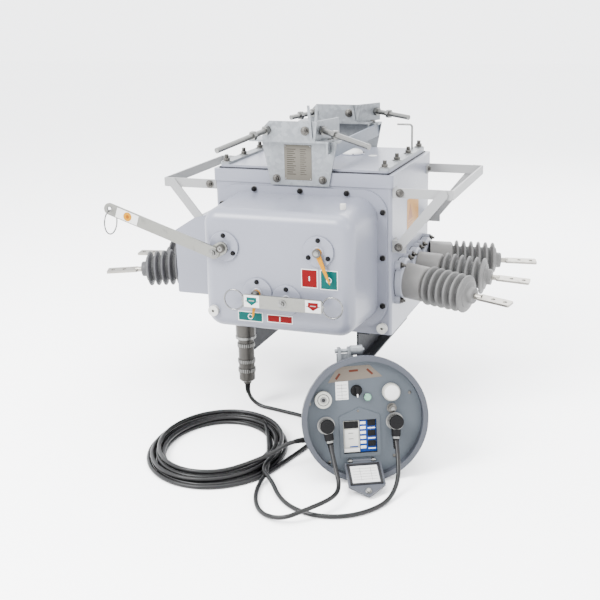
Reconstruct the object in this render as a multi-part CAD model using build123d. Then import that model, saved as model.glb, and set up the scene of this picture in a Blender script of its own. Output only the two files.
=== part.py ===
from build123d import *
import os
from math import cos, pi, radians, sin, tan

os.makedirs("parts", exist_ok=True)

# All sizes are millimetres. X runs to the right of the front, Y runs from front to back, Z runs up.
# The sizes below count from the middle of the foot of the tank's front wall.

# Tank
tank_w, tank_d, tank_h = 600.0, 485.0, 520.0
tank_corner_r = 12.0
band_h = 40.0
band_out = 4.0

# Lid
gasket_t = 3.0
lid_t = 8.0
lid_inset = 14.0
lid_corner_r = 10.0
strip_w, strip_t = 34.0, 8.0
strip_bolts = 4
strip_bolt_pitch = 142.0
strip_hole_r = 5.5
vent_r, vent_t = 42.0, 4.0
vent_x, vent_y = 75.0, 310.0
hook_r = 3.5
hook_x, hook_y, hook_h, hook_arm = 246.0, 402.0, 84.0, 52.0
hook_bend_r = 9.0

# Mechanism cover on the front wall
flange_top_gap, flange_foot_gap = 8.0, 26.0
flange_w, flange_h = 574.0, tank_h - band_h - flange_top_gap - flange_foot_gap
flange_z = flange_foot_gap + flange_h / 2
flange_t, flange_r = 8.0, 75.0
cover_top_step, cover_foot_step = 24.0, 20.0
cover_w, cover_h = 512.0, flange_h - cover_top_step - cover_foot_step
cover_z = flange_z - flange_h / 2 + cover_foot_step + cover_h / 2
cover_depth = 227.0
cover_corner_r = 64.0
cover_draft = 3.0
cover_nose_r = 38.0
vent_plug_r, vent_plug_h = 9.0, 9.0
vent_plug_x, vent_plug_y = 190.0, -150.0

# Round boss plates on the cover's front, with the shafts that they carry
boss_r, boss_t = 48.0, 7.0
shaft_r = 8.0
shaft_gap = 0.05
pocket_gap = 1.0
pocket_depth = 24.0
shaft_tail = 18.0
charge_x, charge_z = 88.0 - cover_w / 2, cover_z + 75.0
position_x, position_z = cover_w / 2 - 115.0, cover_z + 79.0
energy_x, energy_z = -61.0, cover_z - 65.0
trip_x, trip_z = 35.0, cover_z - 81.0

# Charging lever
charge_plane = 20.0
bar_t = 6.0
charge_bar_w = 38.0
charge_bar_len = 373.0
charge_angle = 161.6
crank_dx, crank_dz = -24.0, -14.0
crank_r = 20.0
crank_t = 8.0
ring_hole_r = 7.0
ring_r, ring_wire = 38.0, 2.3
ring_play = 0.4

# Trip lever
trip_plane = 30.0
trip_half, trip_h = 128.0, 42.0
trip_hub_r = 15.0
trip_ring_r, trip_ring_wire = 32.0, 2.6

# Pointers
pointer_plane = 9.0
pointer_t = 3.0
pointer_hub_r, pointer_hub_t = 13.0, 9.0
position_len, position_angle = 104.0, -67.5
energy_len, energy_angle = 80.0, -99.5
pointer_root_w, pointer_tip_w = 17.0, 6.0

# Chamber on the left wall
chamber_out, chamber_bottom, chamber_top = 158.0, 84.0, 303.0
chamber_ridge, chamber_ridge_out = 348.0, 86.0
chamber_eaves = 372.0
chamber_lip = 6.0

# Guards each side
guard_reach, guard_h, guard_t = 186.0, 30.0, 6.0
guard_z = tank_h - 55.0
guard_inset = 8.0
guard_foot = 40.0
brace_w = 30.0
brace_foot_z = guard_z - 171.0
brace_top_gap = 26.0
cleat_w, cleat_h = 44.0, 38.0

# Bushings
bush_y = (97.0, 242.0, 387.0)
bush_z = 165.0
bush_splay = 17.0
bush_tilt = 3.0
bush_len = 276.0
base_sunk, base_step = 20.0, 8.0
stem_r, stem_len = 9.0, 24.0
base_r, shed_core_r, shed_count = 57.0, 43.0, 6
shed_first, shed_pitch = 112.0, 25.0
shed_r_first, shed_r_last = 63.0, 60.0
shed_root_t, shed_tip_t = 17.0, 4.0
cap_r, cap_len = 26.0, 22.0
collar_r, collar_t, collar_chamfer = 69.0, 28.0, 6.0
collar_ear, collar_ear_t, collar_ear_at = 15.0, 18.0, 74.0
left_bush_start = 40.0
left_collar_r, left_collar_t = 56.0, 10.0
tongue_w, tongue_t, tongue_len = 38.0, 7.0, 108.0
tongue_roll = 7.0
tongue_hole_r, tongue_pitch, tongue_edge = 6.5, 40.0, 20.0

# Hanger above the tank
hanger_plate_t = 6.0
hanger_top_w, hanger_foot_w = 252.0, 196.0
hanger_foot_drop = 42.0
hanger_rise = 98.0
hanger_flange = 44.0
hanger_bolt_x, hanger_bolt_rise, hanger_hole_r = 78.0, 20.0, 6.5
beam_x, beam_t, beam_h = 112.0, 8.0, 42.0
shelf_t = 6.0
shelf_front, shelf_back = -38.0, 38.0
shelf_left, shelf_right = -158.0, 106.0
shelf_lip = 34.0
jaw_left, jaw_right, jaw_h, jaw_t, jaw_chamfer = -112.0, 64.0, 60.0, 6.0, 24.0
jaw_hole_x, jaw_hole_r = (-95.0, 32.0), 8.9
front_wing, rear_wing = (128.0, 72.0), (100.0, 55.0)
front_rod_share, rear_rod_share = 0.27, 0.82
horn_h, horn_w, horn_lean, horn_t, horn_foot = 50.0, 15.0, 9.0, 5.0, 8.0
clamp_pitch = 455.0
rear_clamp_shift = -4.0
rod_r, nut_r, nut_t = 8.5, 15.0, 12.0
rod_nut_at = 60.0
rod_z = 31.0
front_left_rod = (-75.0, -218.0, -34.0)
front_right_rod = (188.0, -111.0, -30.0)
rear_left_rod = (-52.0, -99.0, -7.0)
rear_right_rod = (140.0, -85.0, -8.0)

# Feet under the tank
foot_x, foot_web_t, foot_drop, foot_flange = 182.0, 6.0, 100.0, 44.0
foot_end_inset = 4.0
foot_slot_r, foot_slot_y = 7.0, (60.0, 425.0)

# Cable connector under the cover
socket_x, socket_y = -160.0, -118.0
socket_flange_r, socket_flange_t = 40.0, 8.0
socket_r, socket_len = 32.0, 50.0
plug_r, plug_len = 26.0, 150.0
gland_r, gland_len = 13.0, 10.0
plug_band_rises, plug_band_len, plug_band_out = (30.0, 62.0, 118.0), 14.0, 2.0
socket_top = 74.0

# Earthing studs
earth_r, earth_t, earth_bore_r, earth_bore_len = 17.0, 12.0, 5.0, 11.0
earth_cover_x, earth_cover_z = -212.0, 112.0
earth_tank_x, earth_tank_z = 271.0, 23.0

# Round controller that lies on the floor beside the tank
controller_at = (365.0, -495.0, -79.0)
controller_turn, controller_rise = 27.0, 11.0
rim_r, rim_len, shell_r = 180.0, 16.0, 176.0
shell_len, shell_back_r, shell_round, shell_step = 288.0, 124.0, 36.0, 4.0
recess_r, recess_depth = 165.0, 26.0
panel_t, panel_gap = 4.0, 0.5
window_w, window_low, window_high = 96.0, -100.0, -4.0
frame_eaves, frame_apex = 8.0, 32.0
window_x = -14.0
window_depth = 30.0
frame_w, frame_t, frame_round = 10.0, 2.5, 5.0
module_edge, module_gap, module_back_gap = 3.0, 1.0, 0.5
flap_w, flap_side, flap_len, flap_t = 104.0, 96.0, 136.0, 7.0
flap_hinge_u, flap_hinge_out = -119.0, 12.0
flap_open = 58.0
flap_pin_r, flap_knuckle_r, flap_knuckle_len = 2.5, 5.0, 52.0
flap_start, flap_lug_t, flap_lug_gap = 10.0, 7.0, 3.5
knob_x, knob_u, knob_r, knob_len = -20.0, 80.0, 14.0, 20.0
shell_gland_u, shell_gland_depth, shell_gland_r, shell_gland_len = -75.0, 120.0, 14.0, 20.0

plug_ring_r, plug_ring_h, plug_head_r, plug_head_h = 21.0, 14.0, 19.0, 20.0
plug_neck_len, plug_neck_r, plug_neck_rise, plug_lean = 44.0, 11.0, 0.10, 0.14
plug_x, plug_u = (-110.0, 86.0), -14.0
bush_at, bush_size, bush_eye_r = (-116.0, 61.0), (24.0, 14.0), 9.0
cap_at, cap_size, cap_round = (78.0, 71.0), (25.0, 18.0), 5.0
lamp_at, lamp_size = (11.0, 60.0), (10.0, 6.0)
tap_at, tap_size = (79.0, 24.0), (10.0, 12.0)
saddle_depth, saddle_x, saddle_h = -70.0, (-66.0, -18.0), 16.0
eye_x, eye_t, eye_h, eye_w = (-62.0, -34.0), 8.0, 34.0, 24.0
roller_r, roller_x, roller_pin_r, roller_pin_x, roller_h = 14.0, (-26.0, 8.0), 6.0, (-70.0, 14.0), 24.0

# Cords
cord_r = 6.25
coil_x, coil_y, coil_turn = -108.0, -465.0, 12.0
coil_a, coil_b, coil_w, coil_h = 222.0, 262.0, 74.0, 38.0
coil_round = 12.0
floor_z = -256.0

# Where the part's own origin lies, on the seat of the front clamp
hanger_top = tank_h + hanger_rise
seat_z = hanger_top + shelf_t
origin = Vector(0.0, 0.0, seat_z)


def box(x0, x1, y0, y1, z0, z1):
    """A box between two corners."""
    centre = Pos((x0 + x1) / 2, (y0 + y1) / 2, (z0 + z1) / 2)
    return centre * Box(abs(x1 - x0), abs(y1 - y0), abs(z1 - z0))


def rod(start, end, radius):
    """A round bar from one point to another."""
    start, end = Vector(*start), Vector(*end)
    plane = Plane(origin=start, z_dir=end - start)
    return extrude(plane * Circle(radius), amount=(end - start).length)


def slab(points, along):
    """A flat outline of 3-D points, pushed along a vector."""
    face = make_face(Polyline(*points, close=True))
    push = Vector(*along)
    return extrude(face, amount=push.length, dir=push)


def save(name, *solids):
    """Move the solids to the part's origin and write them as one node."""
    moved = [Pos(*(-origin)) * solid for solid in solids]
    shape = moved[0] if len(moved) == 1 else Compound(children=moved)
    export_step(shape, f"parts/{name}.step")


front_y = -(flange_t + cover_depth)
boss_y = front_y - boss_t


def tank():
    """The welded tank, with the deeper band that carries the lid."""
    body = box(-tank_w / 2, tank_w / 2, 0, tank_d, 0, tank_h - band_h)
    body = fillet(body.edges().filter_by(Axis.Z), tank_corner_r)
    half = tank_w / 2 + band_out
    band = box(-half, half, -band_out, tank_d + band_out, tank_h - band_h, tank_h)
    band = fillet(band.edges().filter_by(Axis.Z), tank_corner_r)
    return body + band


def chamber():
    """The sloped chamber on the left wall that the left bushings leave from."""
    wall = -tank_w / 2
    outline = [
        (wall, 0, chamber_bottom),
        (wall - chamber_out, 0, chamber_bottom),
        (wall - chamber_out, 0, chamber_top),
        (wall - chamber_ridge_out, 0, chamber_ridge),
        (wall, 0, chamber_eaves),
    ]
    shape = slab(outline, (0, tank_d, 0))
    edges = shape.edges().filter_by(Axis.Y).sort_by(Axis.X)[:2]
    return fillet(edges, chamber_lip)


def lid_plate():
    """The lid on its gasket, with the round pressure-relief disc."""
    half = tank_w / 2 - lid_inset
    low, high = lid_inset, tank_d - lid_inset
    seal = box(-half + gasket_t, half - gasket_t, low + gasket_t, high - gasket_t, tank_h, tank_h + gasket_t)
    plate = box(-half, half, low, high, tank_h + gasket_t, tank_h + gasket_t + lid_t)
    plate = fillet(plate.edges().filter_by(Axis.Z), lid_corner_r)
    disc = Pos(vent_x, vent_y, lid_top + vent_t / 2) * Cylinder(vent_r, vent_t)
    disc = chamfer(disc.faces().sort_by(Axis.Z)[-1].edges(), vent_t / 3)
    return seal + plate + disc


lid_top = tank_h + gasket_t + lid_t
strip_x = tank_w / 2 - lid_inset - strip_w / 2


def lid_strips():
    """The two bolted strips that press the lid down."""
    strips = []
    for side in (-1, 1):
        x = side * strip_x
        length = tank_d - 2 * lid_inset
        strip = box(x - strip_w / 2, x + strip_w / 2, lid_inset, lid_inset + length, lid_top, lid_top + strip_t)
        strip = fillet(strip.edges().filter_by(Axis.Z), strip_t)
        for i in range(strip_bolts):
            y = tank_d / 2 + (i - (strip_bolts - 1) / 2) * strip_bolt_pitch
            strip -= Pos(x, y, lid_top + strip_t / 2) * Cylinder(strip_hole_r, 2 * strip_t)
        strips.append(strip)
    return strips


def lid_hook():
    """The thin bent rod that stands on the lid's right strip."""
    base = lid_top + strip_t
    x = strip_x - strip_w / 2 + 2 * hook_r
    path = FilletPolyline(
        (x, hook_y, base),
        (x, hook_y, base + hook_h),
        (x - hook_arm, hook_y, base + hook_h),
        radius=hook_bend_r,
    )
    section = Plane(origin=path @ 0, z_dir=path % 0) * Circle(hook_r)
    return sweep(section, path=path)


def shaft_pockets():
    """The holes behind the boss plates, with room round each shaft."""
    holes = []
    for x, z in ((charge_x, charge_z), (position_x, position_z), (energy_x, energy_z), (trip_x, trip_z)):
        holes.append(rod((x, front_y - 1, z), (x, front_y + pocket_depth, z), shaft_r + pocket_gap))
    return holes


def mechanism_cover():
    """The deep-drawn cover: a flange, drafted walls and a rounded nose."""
    flange_plane = Plane(origin=(0, 0, flange_z), x_dir=(1, 0, 0), z_dir=(0, -1, 0))
    flange = extrude(flange_plane * RectangleRounded(flange_w, flange_h, flange_r), amount=flange_t)
    wall_plane = Plane(origin=(0, -flange_t, cover_z), x_dir=(1, 0, 0), z_dir=(0, -1, 0))
    outline = wall_plane * RectangleRounded(cover_w, cover_h, cover_corner_r)
    body = extrude(outline, amount=cover_depth, taper=cover_draft)
    body = fillet(body.faces().sort_by(Axis.Y)[0].edges(), cover_nose_r)
    shape = flange + body
    for hole in shaft_pockets():
        shape -= hole
    return shape


def vent_plug(cover):
    """The small breather on top of the cover."""
    top = cover_z + cover_h / 2
    plug = rod((vent_plug_x, vent_plug_y, top - 40), (vent_plug_x, vent_plug_y, top + vent_plug_h), vent_plug_r)
    return plug - cover


def boss_plates():
    """Four round plates, each bored for its shaft."""
    plates = []
    for x, z in ((charge_x, charge_z), (position_x, position_z), (energy_x, energy_z), (trip_x, trip_z)):
        plate = rod((x, front_y, z), (x, boss_y, z), boss_r)
        plate = chamfer(plate.faces().sort_by(Axis.Y)[0].edges(), 1.5)
        plate -= rod((x, front_y + 1, z), (x, boss_y - 1, z), shaft_r + shaft_gap)
        plates.append(plate)
    return plates


def shaft(x, z, reach):
    """A shaft from inside the cover to its lever's plane."""
    return rod((x, front_y + shaft_tail, z), (x, boss_y - reach, z), shaft_r)


def charging_lever():
    """The long flat bar, round at both ends, with the hole for its ring."""
    near = Vector(charge_x + crank_dx, 0, charge_z + crank_dz)
    along = Vector(cos(radians(charge_angle)), 0, sin(radians(charge_angle)))
    far = near + along * charge_bar_len
    y0 = boss_y - charge_plane
    bar_plane = Plane(origin=(near.X, y0, near.Z), x_dir=along, z_dir=(0, -1, 0))
    outline = SlotCenterToCenter(charge_bar_len, charge_bar_w)
    bar = extrude(bar_plane * (Pos(charge_bar_len / 2, 0) * outline), amount=bar_t)
    bar -= rod((far.X, y0 + 1, far.Z), (far.X, y0 - bar_t - 1, far.Z), ring_hole_r)
    return bar, near, far


def lever_crank(near):
    """The shaft and the short crank that the charging bar is bolted to."""
    y0 = boss_y - charge_plane
    pivot = Vector(charge_x, 0, charge_z)
    link = near - pivot
    plane = Plane(origin=(pivot.X, y0, pivot.Z), x_dir=link, z_dir=(0, 1, 0))
    outline = Pos(link.length / 2, 0) * SlotCenterToCenter(link.length, 2 * crank_r)
    crank = extrude(plane * outline, amount=crank_t)
    return crank + shaft(charge_x, charge_z, charge_plane + bar_t)


def hanging_ring(far):
    """The ring that hangs through the hole at the charging lever's end."""
    y = boss_y - charge_plane - bar_t / 2
    rest = far.Z - ring_hole_r + ring_wire + ring_play
    plane = Plane(origin=(far.X, y, rest - ring_r), x_dir=(0, 1, 0), z_dir=(1, 0, 0))
    return plane * Torus(ring_r, ring_wire)


def trip_lever():
    """The flat rocking bar with its shaft."""
    y0 = boss_y - trip_plane
    bar = box(trip_x - trip_half, trip_x + trip_half, y0 - bar_t, y0, trip_z - trip_h / 2, trip_z + trip_h / 2)
    bar = fillet(bar.edges().filter_by(Axis.Y), 5.0)
    hub = rod((trip_x, y0, trip_z), (trip_x, boss_y - 5, trip_z), trip_hub_r)
    return bar, hub + shaft(trip_x, trip_z, trip_plane)


def trip_ring(side, bar):
    """A pull ring welded to one end of the trip lever."""
    y = boss_y - trip_plane - bar_t / 2
    x = trip_x + side * (trip_half + trip_ring_r)
    plane = Plane(origin=(x, y, trip_z), x_dir=(1, 0, 0), z_dir=(0, -1, 0))
    return plane * Torus(trip_ring_r, trip_ring_wire) - bar


def pointer(x, z, length, angle):
    """A tapered pointer on its hub and shaft."""
    y0 = boss_y - pointer_plane
    along = Vector(cos(radians(angle)), 0, sin(radians(angle)))
    plane = Plane(origin=(x, y0, z), x_dir=along, z_dir=(0, -1, 0))
    outline = Polyline(
        (0, -pointer_root_w / 2),
        (length * 0.9, -pointer_tip_w / 2),
        (length, 0),
        (length * 0.9, pointer_tip_w / 2),
        (0, pointer_root_w / 2),
        close=True,
    )
    blade = extrude(plane * make_face(outline), amount=pointer_t)
    hub = rod((x, boss_y - pointer_plane + 4, z), (x, y0 - pointer_hub_t, z), pointer_hub_r)
    return blade + hub + shaft(x, z, pointer_plane)


def guard(side):
    """The bars that stand out from one side wall: two bent arms, two braces and the outer bar."""
    wall = side * tank_w / 2
    outer = side * (tank_w / 2 + guard_reach)
    z0, z1 = guard_z - guard_h / 2, guard_z + guard_h / 2
    arms, braces = [], []
    for end in (-1, 1):
        edge = 0 if end < 0 else tank_d
        y_out = edge - end * guard_inset
        y_in = y_out - end * guard_t
        foot_y = y_out - end * guard_foot
        arm = box(wall, outer, y_out, y_in, z0, z1)
        arm += box(wall, wall + side * guard_t, y_out, foot_y, z0, z1)
        arms.append(arm)
        braces.append(brace(side, wall, outer, y_out, end))
    bar = box(outer, outer + side * guard_t, guard_inset, tank_d - guard_inset, z0, z1)
    bar = fillet(bar.edges().filter_by(Axis.X), 4.0)
    return arms, braces, bar


def brace(side, wall, outer, y_out, end):
    """One sloping brace, outside its arm, down to a cleat on the wall."""
    top = Vector(outer - side * brace_top_gap, y_out, guard_z)
    foot = Vector(wall + side * cleat_w / 2, y_out, brace_foot_z)
    along = foot - top
    plane = Plane(origin=top, x_dir=along, z_dir=(0, end, 0))
    outline = Pos(along.length / 2, 0) * SlotCenterToCenter(along.length, brace_w)
    bar = extrude(plane * outline, amount=guard_t)
    cleat_y = y_out - end * guard_t
    cleat = box(wall, wall + side * cleat_w, y_out, cleat_y, brace_foot_z - cleat_h / 2, brace_foot_z + cleat_h / 2)
    inner_y = y_out - end * guard_foot
    cleat += box(wall, wall + side * guard_t, y_out, inner_y, brace_foot_z - cleat_h / 2, brace_foot_z + cleat_h / 2)
    return bar + cleat


def bush_plane(side, index):
    """The frame of one bushing: its Z axis runs out along the bushing."""
    fan = (index - 1) * bush_splay
    tilt = radians(bush_tilt)
    out = Vector(
        side * cos(radians(fan)) * cos(tilt),
        sin(radians(fan)) * cos(tilt),
        -sin(tilt),
    )
    shift = 0.0 if side > 0 else left_bush_start
    base = Vector(side * (tank_w / 2 + shift), bush_y[index], bush_z)
    level = out.cross(Vector(0, 0, 1))
    return Plane(origin=base, x_dir=level, z_dir=out)


def bushing_profile():
    """Half of the bushing's section: smooth base, sheds that shrink, and the cap."""
    points = [(0, -base_sunk), (base_r, -base_sunk), (base_r, shed_first - base_step), (shed_core_r, shed_first - 2)]
    for i in range(shed_count):
        share = i / (shed_count - 1)
        radius = shed_r_first + (shed_r_last - shed_r_first) * share
        low = shed_first + i * shed_pitch
        mid = low + shed_root_t / 2
        points += [
            (shed_core_r, low),
            (radius, mid - shed_tip_t / 2),
            (radius, mid + shed_tip_t / 2),
            (shed_core_r, low + shed_root_t),
        ]
    points += [(cap_r, bush_len - cap_len + 6.0), (cap_r, bush_len), (0, bush_len)]
    return make_face(Polyline(*points, close=True))


def bushing(side, index):
    """One shedded bushing, trimmed to the wall or collar that it stands on."""
    section = Plane.XZ * bushing_profile()
    body = bush_plane(side, index) * revolve(section, axis=Axis.Z)
    stop = tank_w / 2 + (collar_t if side > 0 else chamber_out + left_collar_t)
    far = stop + bush_len * 2
    room = box(side * stop, side * far, -tank_d, 2 * tank_d, -tank_h, tank_h)
    return body & room


def collar(side, index):
    """The clamp collar round one bushing's foot."""
    y = bush_y[index]
    if side < 0:
        wall = -(tank_w / 2 + chamber_out)
        reach = Vector(0, 0, 0)
        plane = bush_plane(side, index)
        along = plane.z_dir
        reach = along * ((wall - plane.origin.X) / along.X)
        centre = plane.origin + reach
        disc = rod((wall, centre.Y, centre.Z), (wall - left_collar_t, centre.Y, centre.Z), left_collar_r)
        return chamfer(disc.faces().sort_by(Axis.X)[0].edges(), 2.0)
    wall = tank_w / 2
    disc = rod((wall, y, bush_z), (wall + collar_t, y, bush_z), collar_r)
    disc = chamfer(disc.faces().sort_by(Axis.X)[-1].edges(), collar_chamfer)
    for angle in (50, 130, 230, 310):
        ear_y = y + collar_ear_at * cos(radians(angle))
        ear_z = bush_z + collar_ear_at * sin(radians(angle))
        disc += rod((wall, ear_y, ear_z), (wall + collar_ear_t, ear_y, ear_z), collar_ear)
    return disc


def terminal(side, index):
    """The stem and the flat tongue with its two holes."""
    plane = bush_plane(side, index)
    stem = Pos(0, 0, bush_len + stem_len / 2) * Cylinder(stem_r, stem_len)
    start = bush_len + stem_len
    tongue = Pos(0, 0, start + tongue_len / 2 - 8) * Box(tongue_w, tongue_t, tongue_len)
    tongue = fillet(tongue.edges().filter_by(Axis.Y), 5.0)
    first = start + tongue_len - 8 - tongue_edge
    for back in (0, tongue_pitch):
        tongue -= Pos(0, 0, first - back) * (Rot(90, 0, 0) * Cylinder(tongue_hole_r, 3 * tongue_t))
    return plane * (Rot(0, 0, side * tongue_roll) * (stem + tongue))


def hanger(end):
    """The tapered hanger plate on the front or rear wall, with its folded top."""
    wall = -band_out if end < 0 else tank_d + band_out
    foot = tank_h - hanger_foot_drop
    outline = [
        (-hanger_top_w / 2, wall, hanger_top),
        (hanger_top_w / 2, wall, hanger_top),
        (hanger_foot_w / 2, wall, foot),
        (-hanger_foot_w / 2, wall, foot),
    ]
    plate = slab(outline, (0, end * hanger_plate_t, 0))
    inner = wall - end * hanger_flange
    flange = box(-hanger_top_w / 2, hanger_top_w / 2, wall, inner, hanger_top - hanger_plate_t, hanger_top)
    for x in (-hanger_bolt_x, hanger_bolt_x):
        z = foot + hanger_bolt_rise
        plate -= rod((x, wall - 30, z), (x, wall + 30, z), hanger_hole_r)
    return plate + flange


def beams():
    """The two flat beams that tie the hanger plates together."""
    top = hanger_top - hanger_plate_t
    bars = []
    for side in (-1, 1):
        x0 = side * beam_x - beam_t / 2
        bars.append(box(x0, x0 + beam_t, -band_out, tank_d + band_out, top - beam_h, top))
    return bars


def clamp(shift_x, shift_y, wing_size, horn_top):
    """A V clamp: a shelf, the front jaw, the angled wing and the two guide horns."""
    base = hanger_top
    top = base + shelf_t
    shelf = box(shelf_left, shelf_right, shelf_front, shelf_back, base, top)
    lip_x = shelf_right - shelf_t
    lip = box(lip_x, shelf_right, shelf_front, -band_out - hanger_plate_t - 2, base - shelf_lip, base)
    jaw_outline = [
        (jaw_left, shelf_front, top),
        (jaw_right, shelf_front, top),
        (jaw_right, shelf_front, top + jaw_h),
        (jaw_left + jaw_chamfer, shelf_front, top + jaw_h),
        (jaw_left, shelf_front, top + jaw_h - jaw_chamfer),
    ]
    jaw = slab(jaw_outline, (0, jaw_t, 0))
    for x in jaw_hole_x:
        jaw -= rod((x, shelf_front - 1, top + rod_z), (x, shelf_front + jaw_t + 1, top + rod_z), jaw_hole_r)
    wing_len, wing_angle = wing_size
    lead = Vector(cos(radians(wing_angle)), sin(radians(wing_angle)), 0)
    side = Vector(-lead.Y, lead.X, 0)
    corner = Vector(jaw_right, shelf_front, top)
    tip = corner + lead * wing_len
    wing_outline = [corner, tip, tip + Vector(0, 0, jaw_h), corner + Vector(0, 0, jaw_h)]
    wing = slab([tuple(p) for p in wing_outline], tuple(side * jaw_t))
    horns = []
    for lean, x in ((-1, jaw_right - 2 * horn_t), (1, jaw_right)):
        outline = [
            (x - horn_w / 4, shelf_front, top + horn_foot),
            (x + horn_w / 4, shelf_front, top + horn_foot),
            (x + horn_w / 4 + lean * horn_lean, shelf_front, horn_top),
            (x - horn_w / 4 + lean * horn_lean, shelf_front, horn_top),
        ]
        horns.append(slab(outline, (0, -horn_t, 0)))
    shape = shelf + lip + jaw + wing
    for horn in horns:
        shape += horn
    return Pos(shift_x, shift_y, 0) * shape


def clamp_rod(start, along):
    """A long clamping rod with its nut."""
    start, along = Vector(*start), Vector(*along)
    unit = along.normalized()
    bar = rod(tuple(start), tuple(start + along), rod_r)
    at = start + unit * rod_nut_at
    plane = Plane(origin=at, z_dir=unit)
    nut = extrude(plane * RegularPolygon(nut_r, 6), amount=nut_t)
    root = extrude(Plane(origin=start, z_dir=unit) * RegularPolygon(nut_r, 6), amount=nut_t)
    return bar + nut + root


def wing_point(wing_size, share):
    """A point along a clamp's wing, seen from above."""
    length, angle = wing_size
    lead = Vector(cos(radians(angle)), sin(radians(angle)), 0)
    return Vector(jaw_right, shelf_front, 0) + lead * (length * share)


def clamp_rods(clamps):
    """Four rods, one on each jaw and one on each wing."""
    z = seat_z + rod_z
    front = wing_point(front_wing, front_rod_share)
    rear = wing_point(rear_wing, rear_rod_share) + Vector(rear_clamp_shift, clamp_pitch, 0)
    starts = (
        ((jaw_hole_x[0], shelf_front, z), front_left_rod, 0),
        ((front.X, front.Y, z), front_right_rod, 0),
        ((jaw_hole_x[0] + rear_clamp_shift, shelf_front + clamp_pitch, z), rear_left_rod, 1),
        ((rear.X, rear.Y, z), rear_right_rod, 1),
    )
    rods = []
    for start, along, which in starts:
        outside = clamp_rod(start, along) - clamps[which]
        rods.append(outside.solids().sort_by(SortBy.VOLUME)[-1])
    return rods


def feet():
    """Two bent feet under the tank."""
    bars = []
    for side in (-1, 1):
        x0 = side * foot_x
        web = box(x0, x0 + side * foot_web_t, foot_end_inset, tank_d - foot_end_inset, -foot_drop, 0)
        x1 = x0 + side * foot_flange
        sole = box(x0, x1, foot_end_inset, tank_d - foot_end_inset, -foot_drop, -foot_drop + foot_web_t)
        head = box(x0, x1, foot_end_inset, tank_d - foot_end_inset, -foot_web_t, 0)
        bar = web + sole + head
        for y in foot_slot_y:
            x = x0 + side * (foot_flange + foot_web_t) / 2
            bar -= rod((x, y, -foot_drop - 1), (x, y, -foot_drop + foot_web_t + 1), foot_slot_r)
        bars.append(bar)
    return bars


def connector(cover):
    """The socket under the cover and the plug screwed onto it."""
    top = socket_top
    flange_low = cover_z - cover_h / 2 - socket_flange_t
    body = rod((socket_x, socket_y, top), (socket_x, socket_y, flange_low), socket_flange_r)
    low = flange_low - socket_len
    body += rod((socket_x, socket_y, flange_low), (socket_x, socket_y, low), socket_r)
    body -= cover
    body = body.solids().sort_by(Axis.Z)[0]
    end = low - plug_len
    plug = rod((socket_x, socket_y, low), (socket_x, socket_y, end), plug_r)
    plug = chamfer(plug.faces().sort_by(Axis.Z)[0].edges(), 5.0)
    for rise in plug_band_rises:
        z = end + rise
        plug += rod((socket_x, socket_y, z), (socket_x, socket_y, z + plug_band_len), plug_r + plug_band_out)
    plug += rod((socket_x, socket_y, end), (socket_x, socket_y, end - gland_len), gland_r)
    return body, plug, end - gland_len


def earth_studs(cover):
    """Two insulated earthing bosses with threaded bores."""
    studs = []
    for x, y, z in ((earth_cover_x, front_y, earth_cover_z), (earth_tank_x, 0.0, earth_tank_z)):
        stud = rod((x, y + 30, z), (x, y - earth_t, z), earth_r)
        bore = rod((x, y - earth_t - 1, z), (x, y - earth_t + earth_bore_len, z), earth_bore_r)
        studs.append((stud - bore, y))
    first = studs[0][0] - cover
    second = studs[1][0] - box(-tank_w, tank_w, 0, tank_d, -1, tank_h) - cover
    return [first.solids().sort_by(Axis.Y)[0], second.solids().sort_by(Axis.Y)[0]]


def controller_frame():
    """The controller's frame: local Z looks out of its face."""
    turn, rise = radians(controller_turn), radians(controller_rise)
    out = Vector(sin(turn) * cos(rise), -cos(turn) * cos(rise), sin(rise))
    across = Vector(cos(turn), sin(turn), 0)
    return Plane(origin=controller_at, x_dir=across, z_dir=out)


face = controller_frame()
panel_z = -recess_depth + panel_t


def window_opening(low, high):
    """The window's rectangular opening as a solid between two depths."""
    x0, x1 = window_x - window_w / 2, window_x + window_w / 2
    return box(x0, x1, window_low, window_high, low, high)


def frame_outline():
    """The house-shaped outline of the window's raised frame."""
    half = window_w / 2 + frame_w
    return make_face(Polyline(
        (window_x - half, window_low - frame_w),
        (window_x + half, window_low - frame_w),
        (window_x + half, frame_eaves),
        (window_x, frame_apex),
        (window_x - half, frame_eaves),
        close=True,
    ))


def controller_shell():
    """The bell-shaped housing: rim, taper and rounded back, with the gland on its side."""
    profile = make_face(Polyline(
        (0, 0),
        (rim_r, 0),
        (rim_r, -rim_len),
        (shell_r, -rim_len - shell_step),
        (shell_back_r, -shell_len),
        (0, -shell_len),
        close=True,
    ))
    bell = revolve(Plane.XZ * profile, axis=Axis.Z)
    bell = fillet(bell.faces().sort_by(Axis.Z)[0].edges(), shell_round)
    bell -= Pos(0, 0, -recess_depth / 2) * Cylinder(recess_r, recess_depth)
    bell -= window_opening(-recess_depth - window_depth, -recess_depth + 1)
    along = (shell_gland_depth - rim_len - shell_step) / (shell_len - rim_len - shell_step)
    wall_r = shell_r + (shell_back_r - shell_r) * along
    wall_x = -(wall_r ** 2 - shell_gland_u ** 2) ** 0.5
    gland_at = (wall_x - shell_gland_len, shell_gland_u, -shell_gland_depth)
    bell += rod(gland_at, (wall_x * 0.7, shell_gland_u, -shell_gland_depth), shell_gland_r)
    return face * bell, gland_at


def controller_panel():
    """The panel with its framed window and the seats of the fittings."""
    panel = Pos(0, 0, -recess_depth + panel_t / 2) * Cylinder(recess_r - panel_gap, panel_t)
    rim = extrude(Pos(0, 0, panel_z) * frame_outline(), amount=frame_t)
    panel += fillet(rim.edges().filter_by(Axis.Z), frame_round)
    panel -= window_opening(-recess_depth - 1, panel_z + frame_t + 1)
    panel -= Pos(knob_x, knob_u, -recess_depth) * Cylinder(shaft_r / 2 + shaft_gap, 4 * panel_t)
    return face * panel


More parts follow.
